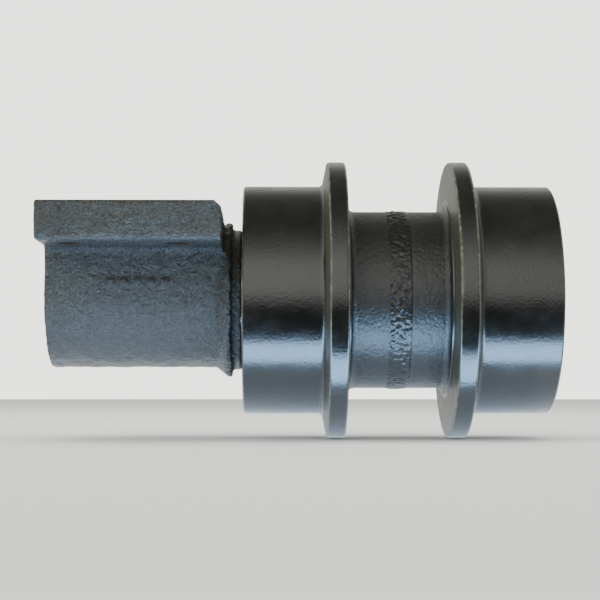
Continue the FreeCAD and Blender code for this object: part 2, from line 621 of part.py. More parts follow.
def outer_roller_half():
    start = WELD_X + CHAMBER_LENGTH / 2
    cover, groove = COVER_RADIUS, COVER_RADIUS + SNAP_RING_GROOVE_DEPTH
    snap_end = SNAP_X + SNAP_RING_THICKNESS + AXIAL_CLEARANCE
    inside = [
        (WELD_X, CHAMBER_RADIUS, 0),
        (start, CHAMBER_RADIUS, 0),
        (start + CHAMBER_CONE, BORE_RADIUS, 0),
        (OUTER_SEAT_X, BORE_RADIUS, 0),
        (OUTER_SEAT_X, THRUST_CAVITY_RADIUS, 0),
        (COVER_SEAT_X, THRUST_CAVITY_RADIUS, 0),
        (COVER_SEAT_X, cover, 0),
        (COVER_OUT_X, cover, 0),
        (COVER_OUT_X, groove, 0),
        (snap_end, groove, 0),
        (snap_end, cover, 0),
        (ROLLER_END_X - MOUTH_CHAMFER, cover, 0),
        (ROLLER_END_X, cover + MOUTH_CHAMFER, 0),
    ]
    return turned(half_outside(ROLLER_END_X, -1) + inside)


def barrel_weld():
    """Weld that fills the groove between the halves and stands a little proud of the barrel."""
    barrel = BARREL_RADIUS
    half, root = WELD_WIDTH / 2, WELD_ROOT_WIDTH / 2
    return turned(
        [
            (WELD_X - root, WELD_ROOT_RADIUS),
            (WELD_X - half, barrel),
            (WELD_X - half * 0.6, barrel + WELD_CROWN),
            (WELD_X + half * 0.6, barrel + WELD_CROWN),
            (WELD_X + half, barrel),
            (WELD_X + root, WELD_ROOT_RADIUS),
        ]
    )


def bush(seat_x, direction):
    """Flanged bush; direction +1 has its body on the +X side of its seat."""
    bore = JOURNAL_RADIUS + BUSH_CLEARANCE
    flange = JOURNAL_RADIUS + BUSH_FLANGE_HEIGHT
    profile = [
        (-BUSH_FLANGE_THICKNESS, bore + BUSH_CHAMFER),
        (-BUSH_FLANGE_THICKNESS, flange),
        (0, flange),
        (0, BUSH_RADIUS),
        (BUSH_LENGTH - BUSH_CHAMFER, BUSH_RADIUS),
        (BUSH_LENGTH, BUSH_RADIUS - BUSH_CHAMFER),
        (BUSH_LENGTH, bore),
        (BUSH_CHAMFER - BUSH_FLANGE_THICKNESS, bore),
    ]
    return turned([(seat_x + direction * x, r) for x, r in profile])


# ---------------------------------------------------------------- outer end
def end_cover():
    radius = COVER_RADIUS - LOCATING_CLEARANCE
    middle = (COVER_SEAT_X + COVER_OUT_X) / 2
    low, high = middle - COVER_RING_GROOVE_WIDTH / 2, middle + COVER_RING_GROOVE_WIDTH / 2
    plug = PLUG_DIAMETER / 2
    boss, rim = plug + COVER_BOSS_WIDTH, COVER_RADIUS - COVER_RIM_WIDTH
    dish = COVER_OUT_X - COVER_DISH_DEPTH
    return turned(
        [
            (COVER_SEAT_X, plug),
            (COVER_SEAT_X, radius - TURNED_EDGE),
            (COVER_SEAT_X + TURNED_EDGE, radius),
            (low, radius),
            (low, COVER_GROOVE_RADIUS),
            (high, COVER_GROOVE_RADIUS),
            (high, radius),
            (COVER_OUT_X - COVER_EDGE, radius),
            (COVER_OUT_X, radius - COVER_EDGE),
            (COVER_OUT_X, rim),
            (dish, rim - COVER_DISH_DEPTH, COVER_DISH_ROUND),
            (dish, boss + COVER_DISH_DEPTH, COVER_DISH_ROUND),
            (COVER_OUT_X, boss),
            (COVER_OUT_X, plug),
        ]
    )


def end_cover_o_ring():
    middle = (COVER_SEAT_X + COVER_OUT_X) / 2
    centre = (COVER_RADIUS + COVER_GROOVE_RADIUS) / 2
    return toric(COVER_RING_SECTION_RADIUS, middle, centre)


def end_cover_snap_ring():
    """Internal retaining ring with two lugs, open at the bottom."""
    x0, x1 = SNAP_X, SNAP_X + SNAP_RING_THICKNESS
    inner = COVER_RADIUS - SNAP_RING_REACH
    ring = washer(inner, SNAP_RING_OUTER_RADIUS, x0, x1)
    reach = 2 * COVER_RADIUS
    half = math.radians(SNAP_RING_OPENING / 2)
    tip = Vector(x0 - BURIED, 0, AXIS_Z)
    left = tip + Vector(0, -reach * math.sin(half), -reach * math.cos(half))
    right = tip + Vector(0, reach * math.sin(half), -reach * math.cos(half))
    wedge_length = x1 - x0 + 2 * BURIED
    wedge = Part.Face(Part.makePolygon([tip, left, right, tip])).extrude(Vector(wedge_length, 0, 0))
    ring = ring.cut(wedge)
    lug_at = inner - SNAP_LUG_RADIUS * 0.3
    holes = []
    for side in (-1, 1):
        angle = half + SNAP_LUG_RADIUS / lug_at
        y, z = side * lug_at * math.sin(angle), AXIS_Z - lug_at * math.cos(angle)
        ring = ring.fuse(bar(SNAP_LUG_RADIUS, x0, x1, y, z))
        holes.append(bar(SNAP_LUG_HOLE_RADIUS, x0 - BURIED, x1 + BURIED, y, z))
    keep = bar(SNAP_RING_OUTER_RADIUS, x0, x1)
    return ring.common(keep).cut(holes).removeSplitter()


def oil_plug():
    flange_x = COVER_OUT_X + PLUG_WASHER_THICKNESS
    head_x = flange_x + PLUG_FLANGE_THICKNESS
    shank = bar(PLUG_DIAMETER / 2 - LOCATING_CLEARANCE, COVER_SEAT_X - PLUG_PAST_COVER, head_x)
    flange = bar(PLUG_FLANGE_RADIUS, flange_x, head_x)
    head = hexagon(PLUG_ACROSS_FLATS, head_x, head_x + PLUG_HEAD_HEIGHT)
    return shank.fuse([flange, head]).removeSplitter()


def oil_plug_washer():
    inner = PLUG_DIAMETER / 2 + PLUG_WASHER_CLEARANCE
    return washer(inner, PLUG_WASHER_RADIUS, COVER_OUT_X, COVER_OUT_X + PLUG_WASHER_THICKNESS)


# ---------------------------------------------------------------- the assembly, one file a node
def nodes():
    return {
        "bracket": bracket(),
        "shaft": shaft(),
        "shaft_lock_pin": shaft_lock_pin(),
        "shaft_o_ring": shaft_o_ring(),
        "fixed_seal_ring": seal_ring(-1),
        "fixed_seal_toric": seal_toric(-1),
        "turning_seal_ring": seal_ring(1),
        "turning_seal_toric": seal_toric(1),
        "inner_roller_half": inner_roller_half(),
        "outer_roller_half": outer_roller_half(),
        "barrel_weld": barrel_weld(),
        "inner_bush": bush(INNER_SEAT_X, 1),
        "outer_bush": bush(OUTER_SEAT_X, -1),
        "thrust_plate": thrust_plate(),
        "thrust_plate_screws": thrust_plate_screws(),
        "thrust_plate_lock_washers": thrust_plate_lock_washers(),
        "end_cover": end_cover(),
        "end_cover_o_ring": end_cover_o_ring(),
        "end_cover_snap_ring": end_cover_snap_ring(),
        "oil_plug": oil_plug(),
        "oil_plug_washer": oil_plug_washer(),
    }


def main():
    os.makedirs("parts", exist_ok=True)
    for name, shape in nodes().items():
        if not shape.isValid():
            raise ValueError(name + " is not a valid solid")
        shape.exportStep("parts/" + name + ".step")
        print(f"{name:28s} solids {len(shape.Solids)}  volume {shape.Volume / 1000:9.2f} cm3")


main()
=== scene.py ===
"""Looks of a cantilever track roller, laid out as an add-on.

The packed CAD model is the fixed frame. Its steel pieces keep their own meshes and get finishes.
The bracket is remade as a rough sand casting whose machined faces are then cut into it, and the
barrel's weld is remade as a rough bead. Lengths are in metres.
"""
import json
import math
import bpy
from bpy.props import FloatProperty, FloatVectorProperty, IntProperty, PointerProperty
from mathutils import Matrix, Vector


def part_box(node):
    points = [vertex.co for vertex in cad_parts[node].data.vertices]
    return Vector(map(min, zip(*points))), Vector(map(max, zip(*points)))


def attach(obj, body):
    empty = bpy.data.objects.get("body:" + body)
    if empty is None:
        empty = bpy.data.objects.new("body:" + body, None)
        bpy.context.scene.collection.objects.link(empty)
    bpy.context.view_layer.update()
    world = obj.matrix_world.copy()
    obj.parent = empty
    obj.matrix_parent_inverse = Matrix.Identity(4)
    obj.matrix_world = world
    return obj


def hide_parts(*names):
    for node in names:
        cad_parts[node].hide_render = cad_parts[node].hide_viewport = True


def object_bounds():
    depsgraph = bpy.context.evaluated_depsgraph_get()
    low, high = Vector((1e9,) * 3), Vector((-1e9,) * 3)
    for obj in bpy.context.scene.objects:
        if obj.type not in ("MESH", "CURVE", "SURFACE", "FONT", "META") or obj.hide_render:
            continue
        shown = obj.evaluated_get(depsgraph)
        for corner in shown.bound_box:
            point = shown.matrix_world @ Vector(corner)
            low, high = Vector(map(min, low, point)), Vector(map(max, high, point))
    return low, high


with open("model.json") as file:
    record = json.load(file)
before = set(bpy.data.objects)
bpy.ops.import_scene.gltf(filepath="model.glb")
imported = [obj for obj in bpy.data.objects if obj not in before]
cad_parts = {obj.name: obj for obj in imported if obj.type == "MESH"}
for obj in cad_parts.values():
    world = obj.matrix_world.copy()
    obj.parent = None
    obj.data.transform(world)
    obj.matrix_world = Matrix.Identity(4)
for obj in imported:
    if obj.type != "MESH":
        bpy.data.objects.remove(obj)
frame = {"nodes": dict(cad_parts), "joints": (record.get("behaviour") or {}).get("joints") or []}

bl_info = {
    "name": "Track Roller Looks",
    "version": (1, 0, 0),
    "blender": (4, 5, 0),
    "location": "3D View > Sidebar > Track Roller",
    "description": "Builds the casting, the weld bead, every finish and the stage of a track roller",
    "category": "Object",
}

CAD_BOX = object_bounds()
NODES = frame["nodes"]
FIXED = "bracket_body"
TURNING = "roller_body"
AXIS = Vector(frame["joints"][0]["pos_m"])

CLEAR = 0.01            # how far a cutter runs past the faces it opens

# Where a mask goes from none to all, or back, in metres: (start, end).
CHAMFER_RISE = (0.0689, 0.0692)      # radii of the chamfers at the treads' ends
CHAMFER_FALL = (0.0696, 0.0698)
FLANGE_RISE = (0.0712, 0.0728)       # radii of the flanges' faces above the tread
FLANGE_FALL = (0.0842, 0.0848)
GROOVE_RISE = (0.0590, 0.0625)       # the same faces above the barrel, in the groove
GROOVE_START = (0.0575, 0.0580)      # from a roller's end face to the middle of its flange
BARREL_FALL = (0.0575, 0.0600)       # radii where the forged skin gives way to turning
RIM_RISE = (0.0836, 0.0842)          # radii of the rounded corners of the rims
RIM_FALL = (0.08455, 0.08485)
CENTRE_FALL = (0.0014, 0.0022)       # radii of the centre in the shaft's end
HEAD_FALL = (-0.0016, -0.0006)       # along, from the top of the plug's head

# The same for the casting's own masks.
NECK_FALL = (0.0, 0.0012)            # along, from the start of the machined neck
GATE_ALONG = (0.009, 0.014)          # along, from the front face
GATE_ACROSS = (0.017, 0.025)         # from the middle
GATE_UP = (-0.0125, -0.0085)         # height over the pads
SKIRT_RADII = (0.0435, 0.0460)       # from the shaft's axis
SKIRT_ALONG = (-0.006, -0.003)       # along, from the start of the machined neck
SKIRT_DOWN = (0.0, 0.004)            # below the pads
BEAD_SKIN = (-0.003, -0.001)         # radii, from the weld bead's own
BEAD_CALM = (0.6, 1.0)               # parts of the bead's half width, away from the bracket
BEAD_SINK = (0.2, 1.0)               # the same, towards the bracket

# Light: fades are parts of a unit direction, tints are colours, and places are in metres.
SIDE_FADE = (0.0, 0.25)              # the front wall dims towards the outer end
SIDE_DIM = 0.55
FRONT_FADE = (0.42, 1.0)             # heights over which the walls fade to the sky
BACK_FADE = (0.45, 0.95)
FRONT_TO_BACK = (-0.25, 0.25)
STAGE_MIDDLE = 0.1                   # along the roller's axis
WALL_TINT = (0.98, 1.0, 0.94)
WARM = (1.0, 0.98, 0.93)
COOL = (0.36, 0.64, 1.0)
PALE_COOL = (0.62, 0.80, 1.0)
CAMERA_PLACE = (0.0886, -0.9787, -0.1093)
CAMERA_TARGET = (0.1027, 0.0, -0.0520)


# ------------------------------------------------------------------ sizes and colours
def length(name, description, default):
    return FloatProperty(name=name, description=description, default=default, unit="LENGTH", precision=5)


def colour(name, description, default):
    return FloatVectorProperty(
        name=name, description=description, default=default, subtype="COLOR", size=3, min=0.0, max=1.0
    )


def amount(name, description, default):
    return FloatProperty(name=name, description=description, default=default, min=0.0)


class TrackRollerCasting(bpy.types.PropertyGroup):
    """Sizes and colours of the cast bracket."""

    voxel: length("Mesh size", "Size of one facet of the casting's skin", 0.0011)
    lump_size: length("Lump size", "Distance between the slow lumps of the skin", 0.009)
    lump_height: length("Lump height", "Height of the slow lumps", 0.0008)
    grain_size: length("Grain size", "Distance between the sand grains' marks", 0.0024)
    grain_height: length("Grain height", "Height of the sand grains' marks", 0.00040)
    gate_size: length("Gate grain", "Distance between the lumps of the broken gate", 0.0045)
    gate_height: length("Gate roughness", "Depth of the broken gate's lumps", 0.0042)
    gate_top: length("Gate filling top", "From the pads down to the iron behind the ground patch", 0.0100)
    gate_depth: length("Gate filling depth", "How deep that iron reaches behind the front face", 0.004)
    flash_size: length("Flash size", "Distance between the tears of the skirt's edge", 0.0050)
    flash_height: length("Flash height", "How far the skirt's torn edge wanders", 0.0022)
    stock: length("Stock", "Iron left on the pads for machining", 0.0012)
    margin: length("Margin", "How far a filling reaches into the iron round a hole", 0.001)
    pad_level: length("Pad level", "Height of the machined pads", 0.0)
    pad_inner: length("Pad inner edge", "From the middle to the stock on a pad", 0.0248)
    pad_inset: length("Pad inset", "From the casting's edge to the stock on a pad", 0.0014)
    pad_end: length("Pad end", "From the front face to the end of the pads", 0.102)
    pad_depth: length("Pad depth", "How deep the stock reaches into a pad", 0.004)
    ear_underside: length("Ear underside", "Height of the ears' underside", -0.0229)
    bolt_pitch_x: length("Bolt pitch X", "Bolt holes along the shaft", 0.063)
    bolt_pitch_y: length("Bolt pitch Y", "Bolt holes across the bracket", 0.127)
    bolt_hole: length("Bolt hole", "Diameter of the bolt holes", 0.0155)
    bore: length("Bore", "Diameter of the shaft's bore", 0.05004)
    bore_chamfer: length("Bore chamfer", "Chamfer at the mouth of the bore", 0.0010)
    pin_hole: length("Pin hole", "Diameter of the lock pin's hole", 0.01004)
    neck_length: length("Neck length", "Length of the machined neck", 0.0068)
    seat_filling: length("Seat filling", "Radius of the iron before the seal's seat is bored", 0.0385)
    seat_depth: length("Seat depth", "Length of the iron before the seal's seat is bored", 0.012)
    seat_bottom: length("Seat bottom", "Radius at the bottom of the seal's seat", 0.0361)
    seat_mouth: length("Seat mouth", "Radius of the seal's seat, past its mouth", 0.0399)
    seat_gap: length("Seat gap", "From the bottom of the seat to the seal ring", 0.0012)
    seat_past: length("Seat overrun", "How far the seat's cone runs past the neck", 0.003)
    ground_width: length("Ground width", "Width of the ground patch over the gate", 0.048)
    ground_depth: length("Ground depth", "How deep the patch is ground into the front face", 0.0002)
    ground_start: length("Ground start", "From the bore to the ground patch", 0.0004)
    ground_end: length("Ground end", "From the pads down to the ground patch", 0.0065)
    pip_radius: length("Pip radius", "Radius of the raised foundry pips", 0.0026)
    pip_height: length("Pip height", "Height of the raised foundry pips", 0.0019)
    pip_pitch: length("Pip pitch", "Distance between the foundry pips", 0.008)
    pip_x: length("Pip middle", "Place of the middle pip along the bracket", 0.006)
    pip_y: length("Pip face", "Place of the face that carries the pips", -0.0415)
    pip_z: length("Pip level", "Height of the row of pips", -0.044)
    pip_count: IntProperty(name="Pip count", description="Number of foundry pips", default=5, min=1)
    paint: colour("Paint", "Black paint over the casting", (0.012, 0.0122, 0.0105))
    dust: colour("Dust", "Pale dust in the casting's grain", (0.052, 0.055, 0.043))
    # Painted shade: a darker colour in small spots, standing for the shade inside the casting's pits.
    pit_shade: colour("Pit", "Bottom of the casting's pits", (0.005, 0.005, 0.0045))
    machined: colour("Machined iron", "Bare milled iron of the pads", (0.46, 0.46, 0.44))
    stain: colour("Stain", "Stains on the pads", (0.20, 0.18, 0.15))
    speck: colour("Speck", "Dark specks on the pads", (0.10, 0.10, 0.095))
    oiled: colour("Oiled iron", "Dark iron in the bores", (0.055, 0.052, 0.046))
    wiped: colour("Wiped iron", "Lighter iron in the bores", (0.13, 0.12, 0.10))


class TrackRollerPaint(bpy.types.PropertyGroup):
    """Colours and sizes of the roller's paint."""

    black: colour("Black", "Paint of the turned faces", (0.006, 0.0060, 0.0055))
    greyed: colour("Greyed black", "Greyer patches of the turned faces", (0.012, 0.0122, 0.011))
    cover_greyed: colour("Greyed cover", "Greyer patches of the end cover", (0.018, 0.0185, 0.017))
    olive: colour("Olive", "Thin paint over the flanges", (0.056, 0.056, 0.034))
    forged: colour("Forged", "Paint over the rough barrel", (0.009, 0.009, 0.0082))
    # Painted shade: the darkest colour of the weld bead, put in its hollows.
    hollow_shade: colour("Burnt scale", "Darkest paint of the weld bead", (0.005, 0.005, 0.0045))
    # Partly worn paint and partly a painted highlight: a lighter colour on the corners of the rims and the
    # tread chamfers.
    rubbed_edge_and_highlight: colour("Worn edge", "Paint rubbed thin on the corners", (0.15, 0.15, 0.115))
    turning_pitch: length("Turning pitch", "Distance between the lathe's lines", 0.0006)
    bead_width: length("Bead width", "Width of the weld bead", 0.0170)
    bead_offset: length("Bead offset", "How far the bead wanders towards the bracket", 0.0015)
    bead_inset: length("Bead inset", "How far the bead's skin starts inside its CAD size", 0.0004)
    bead_crown: length("Bead crown", "Height of the weld bead over the barrel", 0.0003)
    bead_depth: length("Bead depth", "Thickness of the bead's ring", 0.0060)
    bead_round: length("Bead rounding", "Bevel along the bead's corners", 0.0012)
    bead_voxel: length("Bead mesh size", "Size of one facet of the bead's skin", 0.0006)
    bead_fade: length("Bead fade", "How far the bead sinks at its edge nearest the bracket", 0.0011)
    bead_lumps: length("Bead lumps", "Distance between the bead's lumps", 0.0024)
    bead_roughness: length("Bead roughness", "Depth of the bead's roughness", 0.0016)


class TrackRollerMetal(bpy.types.PropertyGroup):
    """Colours of the bare metals and the rubber."""

    shaft: colour("Shaft", "Blacked end of the shaft", (0.050, 0.049, 0.040))
    shaft_stain: colour("Shaft stain", "Darker patches of the shaft's end", (0.036, 0.035, 0.030))
    scratch: colour("Scratch", "Scratches on the shaft's end", (0.085, 0.084, 0.070))
    centre: colour("Centre", "Bright centre in the shaft's end", (0.30, 0.30, 0.27))
    ground_steel: colour("Ground steel", "Ground journals, plate and pin", (0.45, 0.45, 0.45))
    iron: colour("Seal iron", "Lapped hard iron", (0.36, 0.36, 0.37))
    bronze: colour("Bronze", "Bush lining", (0.60, 0.38, 0.16))
    bronze_stain: colour("Bronze stain", "Oil stains on the bushes", (0.25, 0.15, 0.06))
    oil_stain: colour("Oil stain", "Oil stains on turned steel", (0.05, 0.045, 0.035))
    tool_mark: colour("Tool mark", "Dark lines of the lathe", (0.02, 0.02, 0.018))
    copper: colour("Copper", "Sealing washer", (0.70, 0.36, 0.22))
    copper_cloud: colour("Copper cloud", "Dull patches of the sealing washer", (0.38, 0.20, 0.13))
    zinc: colour("Zinc", "Plated plug", (0.34, 0.33, 0.28))
    zinc_cloud: colour("Zinc cloud", "Dull patches of the plug", (0.15, 0.145, 0.12))
    steel_cloud: colour("Steel cloud", "Dull patches of the pin and the washers", (0.30, 0.29, 0.25))
    # Painted shade: the plug's colour below the top of its hexagon head, darkened as in a socket's shade.
    socket_shade: colour("Grease", "Old grease round the plug's head", (0.050, 0.047, 0.040))
    black_oxide: colour("Black oxide", "Screws and retaining ring", (0.055, 0.055, 0.060))
    screw_cloud: colour("Screw cloud", "Dull patches of the screws", (0.10, 0.10, 0.10))
    ring_cloud: colour("Ring cloud", "Dull patches of the retaining ring", (0.13, 0.13, 0.12))
    rubber: colour("Rubber", "Torics and O-rings", (0.022, 0.022, 0.024))
    bloom: colour("Bloom", "Pale bloom on the rubber", (0.045, 0.045, 0.046))


class TrackRollerStage(bpy.types.PropertyGroup):
    """Floor, lights and camera."""

    floor: colour("Floor", "Pale studio floor", (0.80, 0.80, 0.80))
    floor_radius: length("Floor radius", "Radius of the floor", 6.0)
    floor_gap: length("Floor gap", "From the roller's lowest point down to the floor", 0.0005)
    strip_gap: length("Strip gap", "From the roller's lowest point down to the cool strips", 0.0002)
    card_rise: length("Card height", "From the roller's lowest point up to the black card", 0.002)
    backdrop: amount("Backdrop", "Brightness of the pale backdrop", 2.7)
    sky: amount("Sky", "Brightness overhead", 0.22)
    front_wall: amount("Front wall", "Brightness in front of the roller", 3.1)
    back_wall: amount("Back wall", "Brightness behind the roller", 1.0)
    top_light: amount("Top light", "Power of the large soft light, W", 46.0)
    low_light: amount("Low light", "Power of the cool strip low in front, W", 1.6)
    under_light: amount("Under light", "Power of the cool strip under the roller, W", 0.40)
    card_width: length("Card width", "Width of the black card in front of the roller", 1.2)
    card_near: length("Card near edge", "Near edge of the black card", 0.128)
    card_far: length("Card far edge", "Far edge of the black card", 0.750)
    lens: FloatProperty(name="Lens", description="Focal length", default=95.0, unit="CAMERA")


# ------------------------------------------------------------------ material helpers
class Finish:
    """One procedural material on Object coordinates, and short ways to add its nodes."""

    def __init__(self, name):
        self.material = bpy.data.materials.new(name)
        self.material.use_nodes = True
        self.tree = self.material.node_tree
        self.shader = self.tree.nodes["Principled BSDF"]
        self.place = self.node("ShaderNodeTexCoord").outputs["Object"]

    def node(self, kind, **settings):
        made = self.tree.nodes.new(kind)
        for key, value in settings.items():
            setattr(made, key, value)
        return made

    def join(self, source, target):
        self.tree.links.new(source, target)

    def put(self, target, value):
        if isinstance(value, bpy.types.NodeSocket):
            self.join(value, target)
        else:
            target.default_value = value

    def maths(self, operation, a, b=0.0):
        made = self.node("ShaderNodeMath", operation=operation)
        for socket, value in zip(made.inputs, (a, b)):
            self.put(socket, value)
        return made.outputs[0]

    def mapped(self, scale=(1.0, 1.0, 1.0), location=(0.0, 0.0, 0.0)):
        made = self.node("ShaderNodeMapping")
        self.join(self.place, made.inputs["Vector"])
        made.inputs["Scale"].default_value = scale
        made.inputs["Location"].default_value = location
        return made.outputs["Vector"]

    def noise(self, size, detail=3.0, roughness=0.55, vector=None):
        """Noise with marks about one size apart."""
        made = self.node("ShaderNodeTexNoise")
        self.join(vector or self.place, made.inputs["Vector"])
        made.inputs["Scale"].default_value = 1.0 / size
        made.inputs["Detail"].default_value = detail
        made.inputs["Roughness"].default_value = roughness
        return made.outputs["Fac"]

    def cells(self, size):
        made = self.node("ShaderNodeTexVoronoi", feature="F1")
        self.join(self.place, made.inputs["Vector"])
        made.inputs["Scale"].default_value = 1.0 / size
        return made.outputs["Distance"]

    def ramp(self, value, low, high, dark=0.0, light=1.0):
        """Straight ramp from dark at low to light at high, held outside them."""
        made = self.node("ShaderNodeMapRange")
        made.clamp = True
        for name, number in (
            ("Value", value), ("From Min", low), ("From Max", high), ("To Min", dark), ("To Max", light)
        ):
            self.put(made.inputs[name], number)
        return made.outputs["Result"]

    def times(self, a, b):
        return self.maths("MULTIPLY", a, b)

    def band(self, value, rise, fall):
        """1 between two edges, each given as the stretch over which it changes."""
        return self.times(self.ramp(value, *rise), self.ramp(value, *fall, 1.0, 0.0))

    def mix(self, share, a, b):
        made = self.node("ShaderNodeMix", data_type="RGBA")
        self.put(made.inputs["Factor"], share)
        for socket, value in ((made.inputs[6], a), (made.inputs[7], b)):
            self.put(socket, value if isinstance(value, bpy.types.NodeSocket) else (*value, 1.0))
        return made.outputs[2]

    def axial(self):
        """Distance along the roller's axis, and distance from it."""
        centred = self.mapped(location=(0.0, 0.0, -AXIS.z))
        parts = self.node("ShaderNodeSeparateXYZ")
        self.join(centred, parts.inputs[0])
        y2 = self.times(parts.outputs["Y"], parts.outputs["Y"])
        z2 = self.times(parts.outputs["Z"], parts.outputs["Z"])
        return parts.outputs["X"], self.maths("SQRT", self.maths("ADD", y2, z2))

    def around(self, along, radius):
        """A place for patterns that run in rings round the axis."""
        made = self.node("ShaderNodeCombineXYZ")
        self.join(along, made.inputs["X"])
        self.join(radius, made.inputs["Y"])
        return made.outputs[0]

    def bump(self, *layers):
        """Stacks (height socket, depth in metres) layers and gives them to the shader."""
        normal = None
        for height, depth in layers:
            made = self.node("ShaderNodeBump")
            made.inputs["Strength"].default_value = 1.0
            made.inputs["Distance"].default_value = depth
            self.join(height, made.inputs["Height"])
            if normal is not None:
                self.join(normal, made.inputs["Normal"])
            normal = made.outputs["Normal"]
        self.join(normal, self.shader.inputs["Normal"])

    def surface(self, base, roughness, metallic=0.0, specular=0.5):
        self.join(base, self.shader.inputs["Base Color"])
        self.put(self.shader.inputs["Roughness"], roughness)
        self.shader.inputs["Metallic"].default_value = metallic
        self.shader.inputs["Specular IOR Level"].default_value = specular
        return self.material


def cast_paint():
    """Semi-gloss black over a sand casting: painted shade in small pit spots, grain, and pale dust held in
    the grain.
    """
    look = bpy.context.scene.track_roller_casting
    f = Finish("cast_paint")
    grain = f.noise(0.0014, detail=4.0, roughness=0.62)
    shaded_pit_spots = f.cells(0.0026)
    patches = f.noise(0.022, detail=4.0)
    waves = f.noise(0.0036, detail=3.0)
    sand = f.noise(0.0007, detail=2.0)
    dusty = f.times(f.ramp(grain, 0.38, 0.70), f.ramp(patches, 0.30, 0.72, 0.45, 1.0))
    base = f.mix(dusty, look.paint, look.dust)
    # Painted shade: small spots are darkened as if shade fell into pits; they have no relief of their own.
    base = f.mix(f.ramp(shaded_pit_spots, 0.02, 0.22, 0.25, 0.0), base, look.pit_shade)
    f.bump((waves, 0.0018), (grain, 0.0012), (sand, 0.00020))
    return f.surface(base, f.ramp(grain, 0.3, 0.75, 0.15, 0.30), specular=0.55)


def milled_iron():
    """Bare pads with arcs from a face mill, a few stains, and dark specks."""
    look = bpy.context.scene.track_roller_casting
    f = Finish("milled_iron")
    from_cutter = (0.16, 0.035, 0.0)
    arcs = f.node("ShaderNodeTexWave", wave_type="RINGS", rings_direction="Z", wave_profile="SAW")
    f.join(f.mapped(location=from_cutter), arcs.inputs["Vector"])
    arcs.inputs["Scale"].default_value = 170.0
    arcs.inputs["Distortion"].default_value = 0.6
    arcs.inputs["Detail"].default_value = 2.0
    stain = f.noise(0.018, detail=5.0, roughness=0.6)
    specks = f.noise(0.0022, detail=3.0)
    base = f.mix(f.ramp(stain, 0.46, 0.74, 0.0, 0.7), look.machined, look.stain)
    base = f.mix(f.ramp(specks, 0.62, 0.72, 0.0, 0.5), base, look.speck)
    f.bump((arcs.outputs["Fac"], 0.00006), (specks, 0.00008))
    return f.surface(base, f.ramp(stain, 0.3, 0.7, 0.30, 0.5), metallic=0.85)


def ground_paint():
    """Front patch: grinder strokes under a thin coat of black."""
    look = bpy.context.scene.track_roller_casting
    f = Finish("ground_paint")
    strokes = f.noise(0.0006, detail=4.0, vector=f.mapped(scale=(1.0, 1.0, 0.05)))
    blots = f.noise(0.007, detail=3.0)
    base = f.mix(f.ramp(strokes, 0.30, 0.75, 0.0, 0.45), look.paint, look.dust)
    f.bump((blots, 0.0004), (strokes, 0.00012))
    return f.surface(base, f.ramp(blots, 0.3, 0.7, 0.32, 0.5), specular=0.55)


def drilled_iron():
    """Walls of the bores and bolt holes: dark oiled iron with tool rings."""
    look = bpy.context.scene.track_roller_casting
    f = Finish("drilled_iron")
    rings = f.noise(0.0005, detail=2.0, vector=f.mapped(scale=(0.02, 0.02, 1.0)))
    stain = f.noise(0.006, detail=3.0)
    base = f.mix(f.ramp(stain, 0.35, 0.7), look.oiled, look.wiped)
    f.bump((rings, 0.00008))
    return f.surface(base, 0.45, metallic=0.6)


def flange_faces(f, along, radius):
    """Mask of the flanges' flat faces, on the treads' side and in the groove."""
    inner_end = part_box("inner_roller_half")[0][0]
    outer_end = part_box("outer_roller_half")[1][0]
    inner_flange = [inner_end + place for place in GROOVE_START]
    outer_flange = [outer_end - place for place in reversed(GROOVE_START)]
    groove = f.band(along, inner_flange, outer_flange)
    above_barrel = f.times(groove, f.ramp(radius, *GROOVE_RISE))
    faces = f.maths("MAXIMUM", f.ramp(radius, *FLANGE_RISE), above_barrel)
    return f.times(faces, f.ramp(radius, *FLANGE_FALL, 1.0, 0.0))


def roller_paint():
    """Smooth black on the turned treads, olive-thin on the flange faces, rough on the forged barrel."""
    look = bpy.context.scene.track_roller_paint
    f = Finish("roller_paint")
    along, radius = f.axial()
    rings = f.around(along, radius)
    fine = f.noise(look.turning_pitch, detail=1.0, vector=rings)
    broad = f.noise(look.turning_pitch * 9, detail=2.0, vector=rings)
    mottle = f.noise(0.012, detail=5.0, roughness=0.6)
    scale_marks = f.noise(0.0024, detail=4.0, roughness=0.65)

    forged = f.ramp(radius, *BARREL_FALL, 1.0, 0.0)
    turned = f.maths("SUBTRACT", 1.0, forged)
    flange = flange_faces(f, along, radius)
    rim = f.band(radius, RIM_RISE, RIM_FALL)
    chamfer = f.band(radius, CHAMFER_RISE, CHAMFER_FALL)
    wear_and_highlight = f.ramp(f.noise(0.006, detail=4.0), 0.40, 0.66, 0.0, 0.8)

    base = f.mix(f.ramp(mottle, 0.35, 0.75, 0.0, 0.55), look.black, look.greyed)
    base = f.mix(f.times(flange, f.ramp(broad, 0.3, 0.7, 0.45, 0.95)), base, look.olive)
    # Lighter corners on the rims and the tread chamfers: partly worn paint, partly a painted edge
    # highlight.
    base = f.mix(f.times(rim, wear_and_highlight), base, look.rubbed_edge_and_highlight)
    base = f.mix(f.times(chamfer, f.times(wear_and_highlight, 0.6)), base, look.rubbed_edge_and_highlight)
    base = f.mix(f.times(forged, f.ramp(scale_marks, 0.4, 0.7, 0.4, 1.0)), base, look.forged)

    swells = f.times(f.noise(0.008, detail=2.0), forged)
    scaly = f.times(scale_marks, forged)
    lathe_lines = f.times(fine, f.times(turned, f.ramp(flange, 0.0, 1.0, 0.35, 1.0)))
    orange_peel = f.times(f.noise(0.0016, detail=2.0), turned)
    f.bump((swells, 0.0005), (scaly, 0.00060), (lathe_lines, 0.00007), (orange_peel, 0.00012))
    dull = f.times(f.maths("MAXIMUM", forged, flange), 0.15)
    return f.surface(base, f.maths("ADD", f.ramp(mottle, 0.3, 0.7, 0.20, 0.29), dull))


